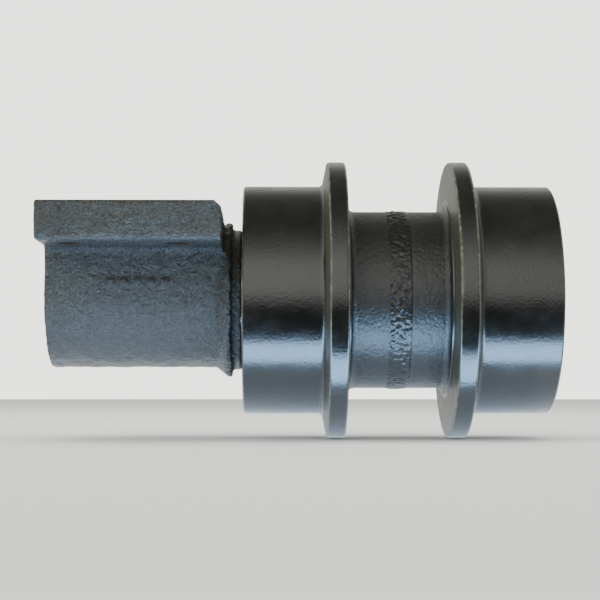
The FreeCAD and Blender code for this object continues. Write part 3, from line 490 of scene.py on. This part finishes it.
def weld_paint():
    """Black over a coarse bead, with painted shade in the bead's hollows."""
    look = bpy.context.scene.track_roller_paint
    f = Finish("weld_paint")
    scale_marks = f.noise(0.0019, detail=4.0, roughness=0.7)
    # Painted shade: where the bump is lowest, the bead is painted darker.
    base = f.mix(f.ramp(scale_marks, 0.4, 0.72), look.hollow_shade, look.forged)
    f.bump((scale_marks, 0.00025))
    return f.surface(base, f.ramp(scale_marks, 0.3, 0.7, 0.24, 0.40), specular=0.42)


def cover_paint():
    """Same black as the treads, with broader lathe rings."""
    look = bpy.context.scene.track_roller_paint
    f = Finish("cover_paint")
    along, radius = f.axial()
    rings = f.noise(0.0010, detail=2.0, vector=f.around(along, radius))
    mottle = f.noise(0.010, detail=5.0)
    base = f.mix(f.ramp(mottle, 0.35, 0.75), look.black, look.cover_greyed)
    f.bump((rings, 0.00010), (f.noise(0.0016, detail=2.0), 0.00008))
    return f.surface(base, f.ramp(mottle, 0.3, 0.7, 0.28, 0.40), specular=0.6)


def turned_steel(name, steel, stain, roughness, pitch=0.0005, depth=0.00005):
    """Bare turned steel with lathe rings and oil stains."""
    look = bpy.context.scene.track_roller_metal
    f = Finish(name)
    along, radius = f.axial()
    rings = f.noise(pitch, detail=2.0, vector=f.around(along, radius))
    blots = f.noise(0.009, detail=5.0, roughness=0.6)
    base = f.mix(f.ramp(blots, 0.44, 0.78, 0.0, 0.75), steel, stain)
    base = f.mix(f.ramp(rings, 0.3, 0.7, 0.0, 0.25), base, look.tool_mark)
    f.bump((rings, depth))
    return f.surface(base, f.ramp(blots, 0.3, 0.7, roughness, roughness + 0.16), metallic=1.0)


def brushed_shaft():
    """Shaft end: blacked steel with straight scratches, lathe rings, and a bright centre."""
    look = bpy.context.scene.track_roller_metal
    f = Finish("brushed_shaft")
    along, radius = f.axial()
    rings = f.noise(0.0007, detail=2.0, vector=f.around(along, radius))
    scratches = f.noise(0.0006, detail=3.0, vector=f.mapped(scale=(1.0, 0.07, 1.0)))
    blots = f.noise(0.011, detail=5.0)
    base = f.mix(f.ramp(blots, 0.35, 0.72), look.shaft, look.shaft_stain)
    base = f.mix(f.ramp(scratches, 0.50, 0.74, 0.0, 0.4), base, look.scratch)
    base = f.mix(f.ramp(radius, *CENTRE_FALL, 1.0, 0.0), base, look.centre)
    f.bump((rings, 0.00006), (scratches, 0.00005))
    return f.surface(base, f.ramp(blots, 0.3, 0.7, 0.36, 0.52), metallic=0.7)


def rubber():
    """Moulded rubber with a pale bloom."""
    look = bpy.context.scene.track_roller_metal
    f = Finish("nitrile_rubber")
    bloom = f.noise(0.004, detail=4.0)
    f.bump((f.noise(0.0008, detail=2.0), 0.00004))
    return f.surface(f.mix(f.ramp(bloom, 0.4, 0.7), look.rubber, look.bloom), 0.62)


def plated(name, metal, cloud, roughness):
    """Plated or oxide-blacked small parts: cloudy colour and fine handling scratches."""
    f = Finish(name)
    clouds = f.noise(0.005, detail=5.0, roughness=0.65)
    scratches = f.noise(0.0007, detail=2.0, vector=f.mapped(scale=(1.0, 1.0, 0.1)))
    base = f.mix(f.ramp(clouds, 0.42, 0.75, 0.0, 0.6), metal, cloud)
    f.bump((scratches, 0.00003), (clouds, 0.00008))
    return f.surface(base, f.ramp(clouds, 0.3, 0.7, roughness, roughness + 0.15), metallic=1.0)


def plug_zinc():
    """Plated plug, darkened with painted shade below the top of its hexagon head."""
    look = bpy.context.scene.track_roller_metal
    head_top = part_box("oil_plug")[1][0]
    f = Finish("plug_zinc")
    along, radius = f.axial()
    clouds = f.noise(0.005, detail=5.0, roughness=0.65)
    # Painted shade: everything deeper than the head's top is darkened.
    socket_shade_mask = f.ramp(along, *(head_top + place for place in HEAD_FALL), 1.0, 0.0)
    base = f.mix(f.ramp(clouds, 0.35, 0.72, 0.0, 0.7), look.zinc, look.zinc_cloud)
    base = f.mix(socket_shade_mask, base, look.socket_shade)
    f.bump((clouds, 0.00008))
    return f.surface(base, f.ramp(clouds, 0.3, 0.7, 0.30, 0.46), metallic=0.85)


def finish_nodes(material, *names):
    """Gives CAD nodes one material."""
    for name in names:
        for slot in NODES[name].material_slots:
            slot.material = material


# ------------------------------------------------------------------ modelling helpers
def start_clean():
    if bpy.context.object and bpy.context.object.mode != "OBJECT":
        bpy.ops.object.mode_set(mode="OBJECT")
    bpy.ops.object.select_all(action="DESELECT")


def only(thing):
    start_clean()
    thing.select_set(True)
    bpy.context.view_layer.objects.active = thing


def rod(radius, start, end, end_radius=None, vertices=96):
    """Closed round bar or cone between two points, along X or Z."""
    start_clean()
    start, end = Vector(start), Vector(end)
    run = end - start
    turn = (0.0, math.pi / 2, 0.0) if abs(run.x) > abs(run.z) else (0.0, 0.0, 0.0)
    bpy.ops.mesh.primitive_cone_add(
        vertices=vertices,
        radius1=radius,
        radius2=radius if end_radius is None else end_radius,
        depth=run.length,
        location=(start + end) / 2,
        rotation=turn,
    )
    made = bpy.context.object
    bpy.ops.object.transform_apply(location=True, rotation=True, scale=True)
    return made


def block(low, high):
    """Closed box between two corners."""
    start_clean()
    low, high = Vector(low), Vector(high)
    bpy.ops.mesh.primitive_cube_add(size=1.0, location=(low + high) / 2)
    made = bpy.context.object
    made.scale = high - low
    bpy.ops.object.transform_apply(location=True, rotation=True, scale=True)
    return made


def dome(place, radius, height):
    """Low round pip on a face that looks along Y."""
    start_clean()
    bpy.ops.mesh.primitive_uv_sphere_add(segments=32, ring_count=16, radius=radius, location=place)
    made = bpy.context.object
    made.scale.y = height / radius
    bpy.ops.object.transform_apply(location=True, rotation=True, scale=True)
    return made


def merge(target, others):
    """Joins closed shapes into one object."""
    start_clean()
    for thing in others:
        thing.select_set(True)
    target.select_set(True)
    bpy.context.view_layer.objects.active = target
    bpy.ops.object.join()
    return target


def apply_modifier(thing, kind, **settings):
    only(thing)
    made = thing.modifiers.new(kind.lower(), kind)
    for key, value in settings.items():
        setattr(made, key, value)
    bpy.ops.object.modifier_apply(modifier=made.name)


def cut(thing, cutter, material):
    """Cuts one closed shape out of another, and gives the new faces a material."""
    cutter.data.materials.clear()
    cutter.data.materials.append(material)
    apply_modifier(
        thing, "BOOLEAN", operation="DIFFERENCE", object=cutter, solver="MANIFOLD", material_mode="TRANSFER"
    )
    bpy.data.objects.remove(cutter)


def weigh(thing, name, weight_of):
    """Vertex group whose weight is a function of place."""
    group = thing.vertex_groups.new(name=name)
    for vertex in thing.data.vertices:
        weight = weight_of(vertex.co)
        if weight > 0.0:
            group.add([vertex.index], weight, "REPLACE")
    return name


def displace(thing, group, name, size, depth, height, middle=0.5):
    """Pushes a vertex group in and out by a cloud pattern."""
    clouds = bpy.data.textures.new(name, "CLOUDS")
    clouds.noise_scale = size
    clouds.noise_depth = depth
    apply_modifier(
        thing, "DISPLACE", texture=clouds, texture_coords="LOCAL",
        strength=height, mid_level=middle, vertex_group=group,
    )


def smooth(thing, degrees):
    only(thing)
    bpy.ops.object.shade_smooth_by_angle(angle=math.radians(degrees))


def off_axis(place):
    return math.hypot(place.y, place.z - AXIS.z)


def corners(node):
    """Lowest and highest corner of a CAD node."""
    low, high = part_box(node)
    return Vector(low), Vector(high)


def on_axis(x):
    return x, 0, AXIS.z


def fade(value, low, high):
    """0 at low, 1 at high."""
    return min(1.0, max(0.0, (value - low) / (high - low)))


# ------------------------------------------------------------------ pieces
class TRACKROLLER_OT_bracket(bpy.types.Operator):
    """Remake the bracket as a sand casting and machine its pads, bores and ground patch"""

    bl_idname = "trackroller.bracket"
    bl_label = "Cast Bracket"

    def execute(self, context):
        look = context.scene.track_roller_casting
        casting = self.raw_casting(look)
        self.roughen(casting, look)
        self.machine(casting, look)
        smooth(casting, 38)
        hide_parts("bracket")
        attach(casting, FIXED)
        return {"FINISHED"}

    def raw_casting(self, look):
        """CAD shape with its holes filled, stock left on the pads, and its foundry pips."""
        low, high = corners("bracket")
        casting = self.closed_copy()
        fill = [
            rod(look.bore / 2 + 2 * look.margin, on_axis(low.x + 0.0002), on_axis(high.x - look.margin)),
            rod(look.seat_filling, on_axis(high.x - look.seat_depth), on_axis(high.x - look.margin / 2)),
            self.gate_filling(look, low),
        ]
        for x, y in self.bolt_places(look):
            radius = look.bolt_hole / 2 + look.margin
            fill.append(rod(radius, (x, y, look.ear_underside), (x, y, look.pad_level), vertices=48))
        for x in self.pip_places(look):
            fill.append(dome((x, look.pip_y, look.pip_z), look.pip_radius, look.pip_height))
        for side in (-1, 1):
            fill.append(self.pad_stock(look, low, high, side))
        merge(casting, fill)
        apply_modifier(casting, "REMESH", mode="VOXEL", voxel_size=look.voxel, use_smooth_shade=True)
        return casting

    def closed_copy(self):
        """Copy of the CAD bracket with its loose triangles joined."""
        casting = NODES["bracket"].copy()
        casting.data = NODES["bracket"].data.copy()
        casting.name = "bracket_casting"
        casting.parent = None
        bpy.context.scene.collection.objects.link(casting)
        only(casting)
        bpy.ops.object.mode_set(mode="EDIT")
        bpy.ops.mesh.select_all(action="SELECT")
        bpy.ops.mesh.remove_doubles(threshold=1e-6)
        bpy.ops.mesh.normals_make_consistent(inside=False)
        bpy.ops.object.mode_set(mode="OBJECT")
        return casting

    def gate_filling(self, look, low):
        """Iron over the CAD's ground patch, so that the patch can be ground again."""
        half = look.ground_width / 2 + 2 * look.margin
        bottom, top = AXIS.z + look.bore / 2 - look.margin, look.pad_level - look.gate_top
        return block((low.x, -half, bottom), (low.x + look.gate_depth, half, top))

    def pad_stock(self, look, low, high, side):
        inner, outer = sorted((side * look.pad_inner, side * (high.y - look.pad_inset)))
        bottom, top = look.pad_level - look.pad_depth, look.pad_level + look.stock
        return block((low.x + look.pad_inset, inner, bottom), (low.x + look.pad_end, outer, top))

    def bolt_places(self, look):
        along, across = look.bolt_pitch_x / 2, look.bolt_pitch_y / 2
        return [(x * along, y * across) for x in (-1, 1) for y in (-1, 1)]

    def pip_places(self, look):
        first = look.pip_x - look.pip_pitch * (look.pip_count - 1) / 2
        return [first + i * look.pip_pitch for i in range(look.pip_count)]

    def roughen(self, casting, look):
        """Sand grain all over but the neck, a broken gate, and a torn edge on the skirt."""
        low, high = corners("bracket")
        neck = high.x - look.neck_length

        def cast_weight(p):
            return 1.0 - fade(p.x - neck, *NECK_FALL)

        def gate_weight(p):
            along = 1.0 - fade(p.x - low.x, *GATE_ALONG)
            across = 1.0 - fade(abs(p.y), *GATE_ACROSS)
            return along * across * fade(p.z, *GATE_UP)

        def skirt_weight(p):
            around = fade(off_axis(p), *SKIRT_RADII) * fade(-p.z, *SKIRT_DOWN)
            return around * fade(p.x - neck, *SKIRT_ALONG)

        as_cast = weigh(casting, "as_cast", cast_weight)
        gate = weigh(casting, "gate", gate_weight)
        torn = weigh(casting, "torn", skirt_weight)
        displace(casting, as_cast, "casting_lumps", look.lump_size, 1, look.lump_height)
        displace(casting, as_cast, "casting_grain", look.grain_size, 2, look.grain_height)
        displace(casting, gate, "broken_gate", look.gate_size, 2, look.gate_height, middle=0.62)
        displace(casting, torn, "torn_skirt", look.flash_size, 2, look.flash_height)

    def machine(self, casting, look):
        """Mills the pads, drills and bores the holes, and grinds the front patch."""
        low, high = corners("bracket")
        painted, milled, ground, drilled = cast_paint(), milled_iron(), ground_paint(), drilled_iron()
        casting.data.materials.clear()
        casting.data.materials.append(painted)
        top, bore, front = look.pad_level, look.bore / 2, low.x - CLEAR
        past = Vector((CLEAR, CLEAR, 2 * CLEAR))
        cut(casting, block((front, low.y - CLEAR, top), high + past), milled)
        for x, y in self.bolt_places(look):
            start, end = (x, y, look.ear_underside - CLEAR), (x, y, top + CLEAR)
            cut(casting, rod(look.bolt_hole / 2, start, end, vertices=64), drilled)
        half = look.ground_width / 2
        patch_bottom, patch_top = AXIS.z + bore + look.ground_start, top - look.ground_end
        patch = block((front, -half, patch_bottom), (low.x + look.ground_depth, half, patch_top))
        cut(casting, patch, ground)
        cut(casting, rod(bore, on_axis(front), on_axis(high.x + CLEAR), vertices=192), drilled)
        self.chamfer_bore(casting, look, low, bore, painted)
        seat_start = corners("fixed_seal_ring")[0].x - look.seat_gap
        seat_end = high.x + look.seat_past
        seat = rod(look.seat_bottom, on_axis(seat_start), on_axis(seat_end), look.seat_mouth, vertices=192)
        cut(casting, seat, drilled)
        pin_x = sum(corner.x for corner in corners("shaft_lock_pin")) / 2
        cut(casting, rod(look.pin_hole / 2, on_axis(pin_x), (pin_x, 0, top + CLEAR), vertices=64), drilled)

    def chamfer_bore(self, casting, look, low, bore, painted):
        past = look.bore_chamfer / 5
        wide = bore + look.bore_chamfer + past
        start, end = on_axis(low.x - past), on_axis(low.x + look.bore_chamfer)
        cut(casting, rod(wide, start, end, bore, vertices=192), painted)


class TRACKROLLER_OT_weld(bpy.types.Operator):
    """Remake the weld round the middle of the barrel as a rough bead"""

    bl_idname = "trackroller.weld"
    bl_label = "Barrel Weld"

    def execute(self, context):
        look = context.scene.track_roller_paint
        low, high = corners("barrel_weld")
        middle = (low.x + high.x) / 2 - look.bead_offset
        radius = (high.y - low.y) / 2 - look.bead_inset
        painted = weld_paint()
        bead = self.smooth_ring(look, middle, radius, painted)
        self.roughen(bead, look, middle, radius)
        bead.data.materials.clear()
        bead.data.materials.append(painted)
        smooth(bead, 60)
        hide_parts("barrel_weld")
        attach(bead, TURNING)
        return {"FINISHED"}

    def smooth_ring(self, look, middle, radius, painted):
        half = look.bead_width / 2
        outside = radius + look.bead_crown
        bead = rod(outside, on_axis(middle - half), on_axis(middle + half), vertices=256)
        bead.name = "barrel_weld_bead"
        bpy.ops.object.mode_set(mode="EDIT")
        bpy.ops.mesh.select_all(action="SELECT")
        bpy.ops.mesh.bevel(offset=look.bead_round, segments=3, affect="EDGES")
        bpy.ops.object.mode_set(mode="OBJECT")
        reach = half + CLEAR
        core = rod(radius - look.bead_depth, on_axis(middle - reach), on_axis(middle + reach), vertices=256)
        cut(bead, core, painted)
        apply_modifier(bead, "REMESH", mode="VOXEL", voxel_size=look.bead_voxel, use_smooth_shade=True)
        return bead

    def roughen(self, bead, look, middle, radius):
        """Sinks the side nearest the bracket into the barrel, and breaks up the skin."""
        half = look.bead_width / 2

        def skin(p):
            return fade(off_axis(p) - radius, *BEAD_SKIN)

        def rough_weight(p):
            return skin(p) * (1.0 - fade((p.x - middle) / half, *BEAD_CALM))

        def sink_weight(p):
            return skin(p) * fade((middle - p.x) / half, *BEAD_SINK)

        outside = weigh(bead, "outside", rough_weight)
        sinking = weigh(bead, "sinking", sink_weight)
        apply_modifier(bead, "DISPLACE", strength=-look.bead_fade, mid_level=0.0, vertex_group=sinking)
        displace(bead, outside, "bead_lumps", look.bead_lumps, 2, look.bead_roughness, middle=0.48)


class TRACKROLLER_OT_roller(bpy.types.Operator):
    """Paint both halves of the roller"""

    bl_idname = "trackroller.roller"
    bl_label = "Roller Halves"

    def execute(self, context):
        finish_nodes(roller_paint(), "inner_roller_half", "outer_roller_half")
        return {"FINISHED"}


class TRACKROLLER_OT_shaft(bpy.types.Operator):
    """Finish the shaft, its lock pin and its O-ring"""

    bl_idname = "trackroller.shaft"
    bl_label = "Shaft"

    def execute(self, context):
        look = context.scene.track_roller_metal
        finish_nodes(brushed_shaft(), "shaft")
        finish_nodes(plated("lock_pin_steel", look.ground_steel, look.steel_cloud, 0.3), "shaft_lock_pin")
        finish_nodes(rubber(), "shaft_o_ring")
        return {"FINISHED"}


class TRACKROLLER_OT_seal(bpy.types.Operator):
    """Finish the face seal's lapped rings and rubber torics"""

    bl_idname = "trackroller.seal"
    bl_label = "Face Seal"

    def execute(self, context):
        look = context.scene.track_roller_metal
        lapped = turned_steel("lapped_iron", look.iron, look.oil_stain, 0.16, pitch=0.0004, depth=0.00002)
        finish_nodes(lapped, "fixed_seal_ring", "turning_seal_ring")
        finish_nodes(rubber(), "fixed_seal_toric", "turning_seal_toric")
        return {"FINISHED"}


class TRACKROLLER_OT_bushes(bpy.types.Operator):
    """Finish the two bushes"""

    bl_idname = "trackroller.bushes"
    bl_label = "Bushes"

    def execute(self, context):
        look = context.scene.track_roller_metal
        bronze = turned_steel("bush_bronze", look.bronze, look.bronze_stain, 0.28)
        finish_nodes(bronze, "inner_bush", "outer_bush")
        return {"FINISHED"}


class TRACKROLLER_OT_thrust(bpy.types.Operator):
    """Finish the thrust plate, its screws and their lock washers"""

    bl_idname = "trackroller.thrust"
    bl_label = "Thrust Plate"

    def execute(self, context):
        look = context.scene.track_roller_metal
        plate = turned_steel("thrust_plate_steel", look.ground_steel, look.oil_stain, 0.26)
        screws = plated("screw_black", look.black_oxide, look.screw_cloud, 0.38)
        washers = plated("washer_steel", look.ground_steel, look.steel_cloud, 0.34)
        finish_nodes(plate, "thrust_plate")
        finish_nodes(screws, "thrust_plate_screws")
        finish_nodes(washers, "thrust_plate_lock_washers")
        return {"FINISHED"}


class TRACKROLLER_OT_cover(bpy.types.Operator):
    """Finish the outer end: cover, O-ring, retaining ring, plug and its washer"""

    bl_idname = "trackroller.cover"
    bl_label = "End Cover"

    def execute(self, context):
        look = context.scene.track_roller_metal
        finish_nodes(cover_paint(), "end_cover")
        finish_nodes(rubber(), "end_cover_o_ring")
        ring = plated("ring_phosphate", look.black_oxide, look.ring_cloud, 0.42)
        washer = plated("washer_copper", look.copper, look.copper_cloud, 0.3)
        finish_nodes(ring, "end_cover_snap_ring")
        finish_nodes(plug_zinc(), "oil_plug")
        finish_nodes(washer, "oil_plug_washer")
        return {"FINISHED"}


class TRACKROLLER_OT_stage(bpy.types.Operator):
    """Set the floor, the soft lights and the camera"""

    bl_idname = "trackroller.stage"
    bl_label = "Stage"

    def execute(self, context):
        look = context.scene.track_roller_stage
        ground = CAD_BOX[0][2]
        self.floor(look, ground - look.floor_gap)
        self.surroundings(context, look)
        soft = self.light("top_soft", (STAGE_MIDDLE, 0.2, 1.8), (STAGE_MIDDLE, 0.0, -0.05), (2.6, 1.8))
        self.glow(soft, look.top_light, WARM)
        soft.visible_glossy = False
        low_strip = self.strip("low_strip", 0.115, -0.097, ground - look.strip_gap, (0.45, 0.042))
        self.glow(low_strip, look.low_light, COOL)
        under_strip = self.strip("under_strip", 0.12, 0.02, ground - look.strip_gap, (0.44, 0.180))
        self.glow(under_strip, look.under_light, PALE_COOL)
        self.card(look, ground + look.card_rise)
        self.camera(context, look)
        return {"FINISHED"}

    def card(self, look, level):
        """A black card on the floor that only reflections see, to keep a dark line in the gloss."""
        start_clean()
        near, far = look.card_near, look.card_far
        bpy.ops.mesh.primitive_plane_add(size=1.0, location=(STAGE_MIDDLE, -(near + far) / 2, level))
        card = bpy.context.object
        card.name = "black_flag"
        card.scale = (look.card_width, far - near, 1.0)
        bpy.ops.object.transform_apply(location=True, rotation=True, scale=True)
        f = Finish("black_card")
        soot = f.mix(f.noise(0.05), (0.004, 0.004, 0.004), (0.008, 0.008, 0.008))
        card.data.materials.append(f.surface(soot, 0.9, specular=0.0))
        card.visible_camera = False
        card.visible_diffuse = False
        card.visible_shadow = False
        card.visible_transmission = False

    def floor(self, look, level):
        start_clean()
        bpy.ops.mesh.primitive_circle_add(vertices=128, radius=look.floor_radius, fill_type="NGON")
        ground = bpy.context.object
        ground.name = "floor"
        ground.location = (STAGE_MIDDLE, 0.0, level)
        bpy.ops.object.transform_apply(location=True, rotation=True, scale=True)
        f = Finish("studio_floor")
        pale = tuple(look.floor)
        paler = tuple(part * 1.03 for part in pale)
        cloudy = f.mix(f.noise(0.35, detail=2.0), pale, paler)
        ground.data.materials.append(f.surface(cloudy, 0.7, specular=0.2))

    def surroundings(self, context, look):
        """Soft walls: a bright one in front, a dimmer one behind, a dark sky, and a pale backdrop."""
        world = bpy.data.worlds.new("studio")
        context.scene.world = world
        world.use_nodes = True
        tree = world.node_tree
        background = tree.nodes["Background"]
        direction = tree.nodes.new("ShaderNodeSeparateXYZ")
        tree.links.new(tree.nodes.new("ShaderNodeTexCoord").outputs["Generated"], direction.inputs[0])

        def span(value, low, high, start, end):
            made = tree.nodes.new("ShaderNodeMapRange")
            made.interpolation_type = "SMOOTHSTEP"
            tree.links.new(value, made.inputs["Value"])
            made.inputs["From Min"].default_value = low
            made.inputs["From Max"].default_value = high
            for name, level in (("To Min", start), ("To Max", end)):
                if isinstance(level, bpy.types.NodeSocket):
                    tree.links.new(level, made.inputs[name])
                else:
                    made.inputs[name].default_value = level
            return made.outputs["Result"]

        side, depth, height = direction.outputs["X"], direction.outputs["Y"], direction.outputs["Z"]
        front = span(side, *SIDE_FADE, look.front_wall, look.front_wall * SIDE_DIM)
        front = span(height, *FRONT_FADE, front, look.sky)
        back = span(height, *BACK_FADE, look.back_wall, look.sky)
        lighting = span(depth, *FRONT_TO_BACK, front, back)
        seen = tree.nodes.new("ShaderNodeLightPath").outputs["Is Camera Ray"]
        tree.links.new(span(seen, 0.0, 1.0, lighting, look.backdrop), background.inputs["Strength"])
        background.inputs["Color"].default_value = (*WALL_TINT, 1.0)

    def light(self, name, place, target, size):
        """Rectangular light that the camera doesn't see."""
        data = bpy.data.lights.new(name, "AREA")
        data.shape = "RECTANGLE"
        data.size, data.size_y = size
        lamp = bpy.data.objects.new(name, data)
        bpy.context.scene.collection.objects.link(lamp)
        lamp.location = place
        lamp.rotation_euler = (Vector(target) - Vector(place)).to_track_quat("-Z", "Y").to_euler()
        lamp.visible_camera = False
        return lamp

    def strip(self, name, x, y, level, size):
        """Light lying on the floor and facing up, seen by reflections only."""
        lamp = self.light(name, (x, y, level), (x, y, 1.0), size)
        lamp.visible_diffuse = False
        return lamp

    def glow(self, lamp, power, tint):
        lamp.data.energy = power
        lamp.data.color = tint

    def camera(self, context, look):
        data = bpy.data.cameras.new("camera")
        data.lens = look.lens
        data.sensor_width = 36.0
        data.clip_end = 50.0
        camera = bpy.data.objects.new("camera", data)
        context.scene.collection.objects.link(camera)
        camera.location = CAMERA_PLACE
        view = Vector(CAMERA_TARGET) - Vector(CAMERA_PLACE)
        camera.rotation_euler = view.to_track_quat("-Z", "Y").to_euler()
        context.scene.camera = camera


# ------------------------------------------------------------------ panel and registration
PIECES = (
    TRACKROLLER_OT_bracket,
    TRACKROLLER_OT_weld,
    TRACKROLLER_OT_roller,
    TRACKROLLER_OT_shaft,
    TRACKROLLER_OT_seal,
    TRACKROLLER_OT_bushes,
    TRACKROLLER_OT_thrust,
    TRACKROLLER_OT_cover,
    TRACKROLLER_OT_stage,
)
GROUPS = {
    "track_roller_casting": TrackRollerCasting,
    "track_roller_paint": TrackRollerPaint,
    "track_roller_metal": TrackRollerMetal,
    "track_roller_stage": TrackRollerStage,
}


class TRACKROLLER_PT_panel(bpy.types.Panel):
    """Sizes, colours and build steps of the track roller"""

    bl_idname = "TRACKROLLER_PT_panel"
    bl_label = "Track Roller"
    bl_space_type = "VIEW_3D"
    bl_region_type = "UI"
    bl_category = "Track Roller"

    def draw(self, context):
        steps = self.layout.column(align=True)
        for piece in PIECES:
            steps.operator(piece.bl_idname)
        for name, group in GROUPS.items():
            box = self.layout.box()
            box.label(text=group.__doc__)
            for setting in group.__annotations__:
                box.prop(getattr(context.scene, name), setting)


def register():
    for group in GROUPS.values():
        bpy.utils.register_class(group)
    for name, group in GROUPS.items():
        setattr(bpy.types.Scene, name, PointerProperty(type=group))
    for piece in PIECES:
        bpy.utils.register_class(piece)
    bpy.utils.register_class(TRACKROLLER_PT_panel)


def unregister():
    bpy.utils.unregister_class(TRACKROLLER_PT_panel)
    for piece in reversed(PIECES):
        bpy.utils.unregister_class(piece)
    for name in GROUPS:
        delattr(bpy.types.Scene, name)
    for group in reversed(list(GROUPS.values())):
        bpy.utils.unregister_class(group)


def main():
    register()
    for piece in PIECES:
        group, step = piece.bl_idname.split(".")
        getattr(getattr(bpy.ops, group), step)()


if __name__ == "__main__":
    main()
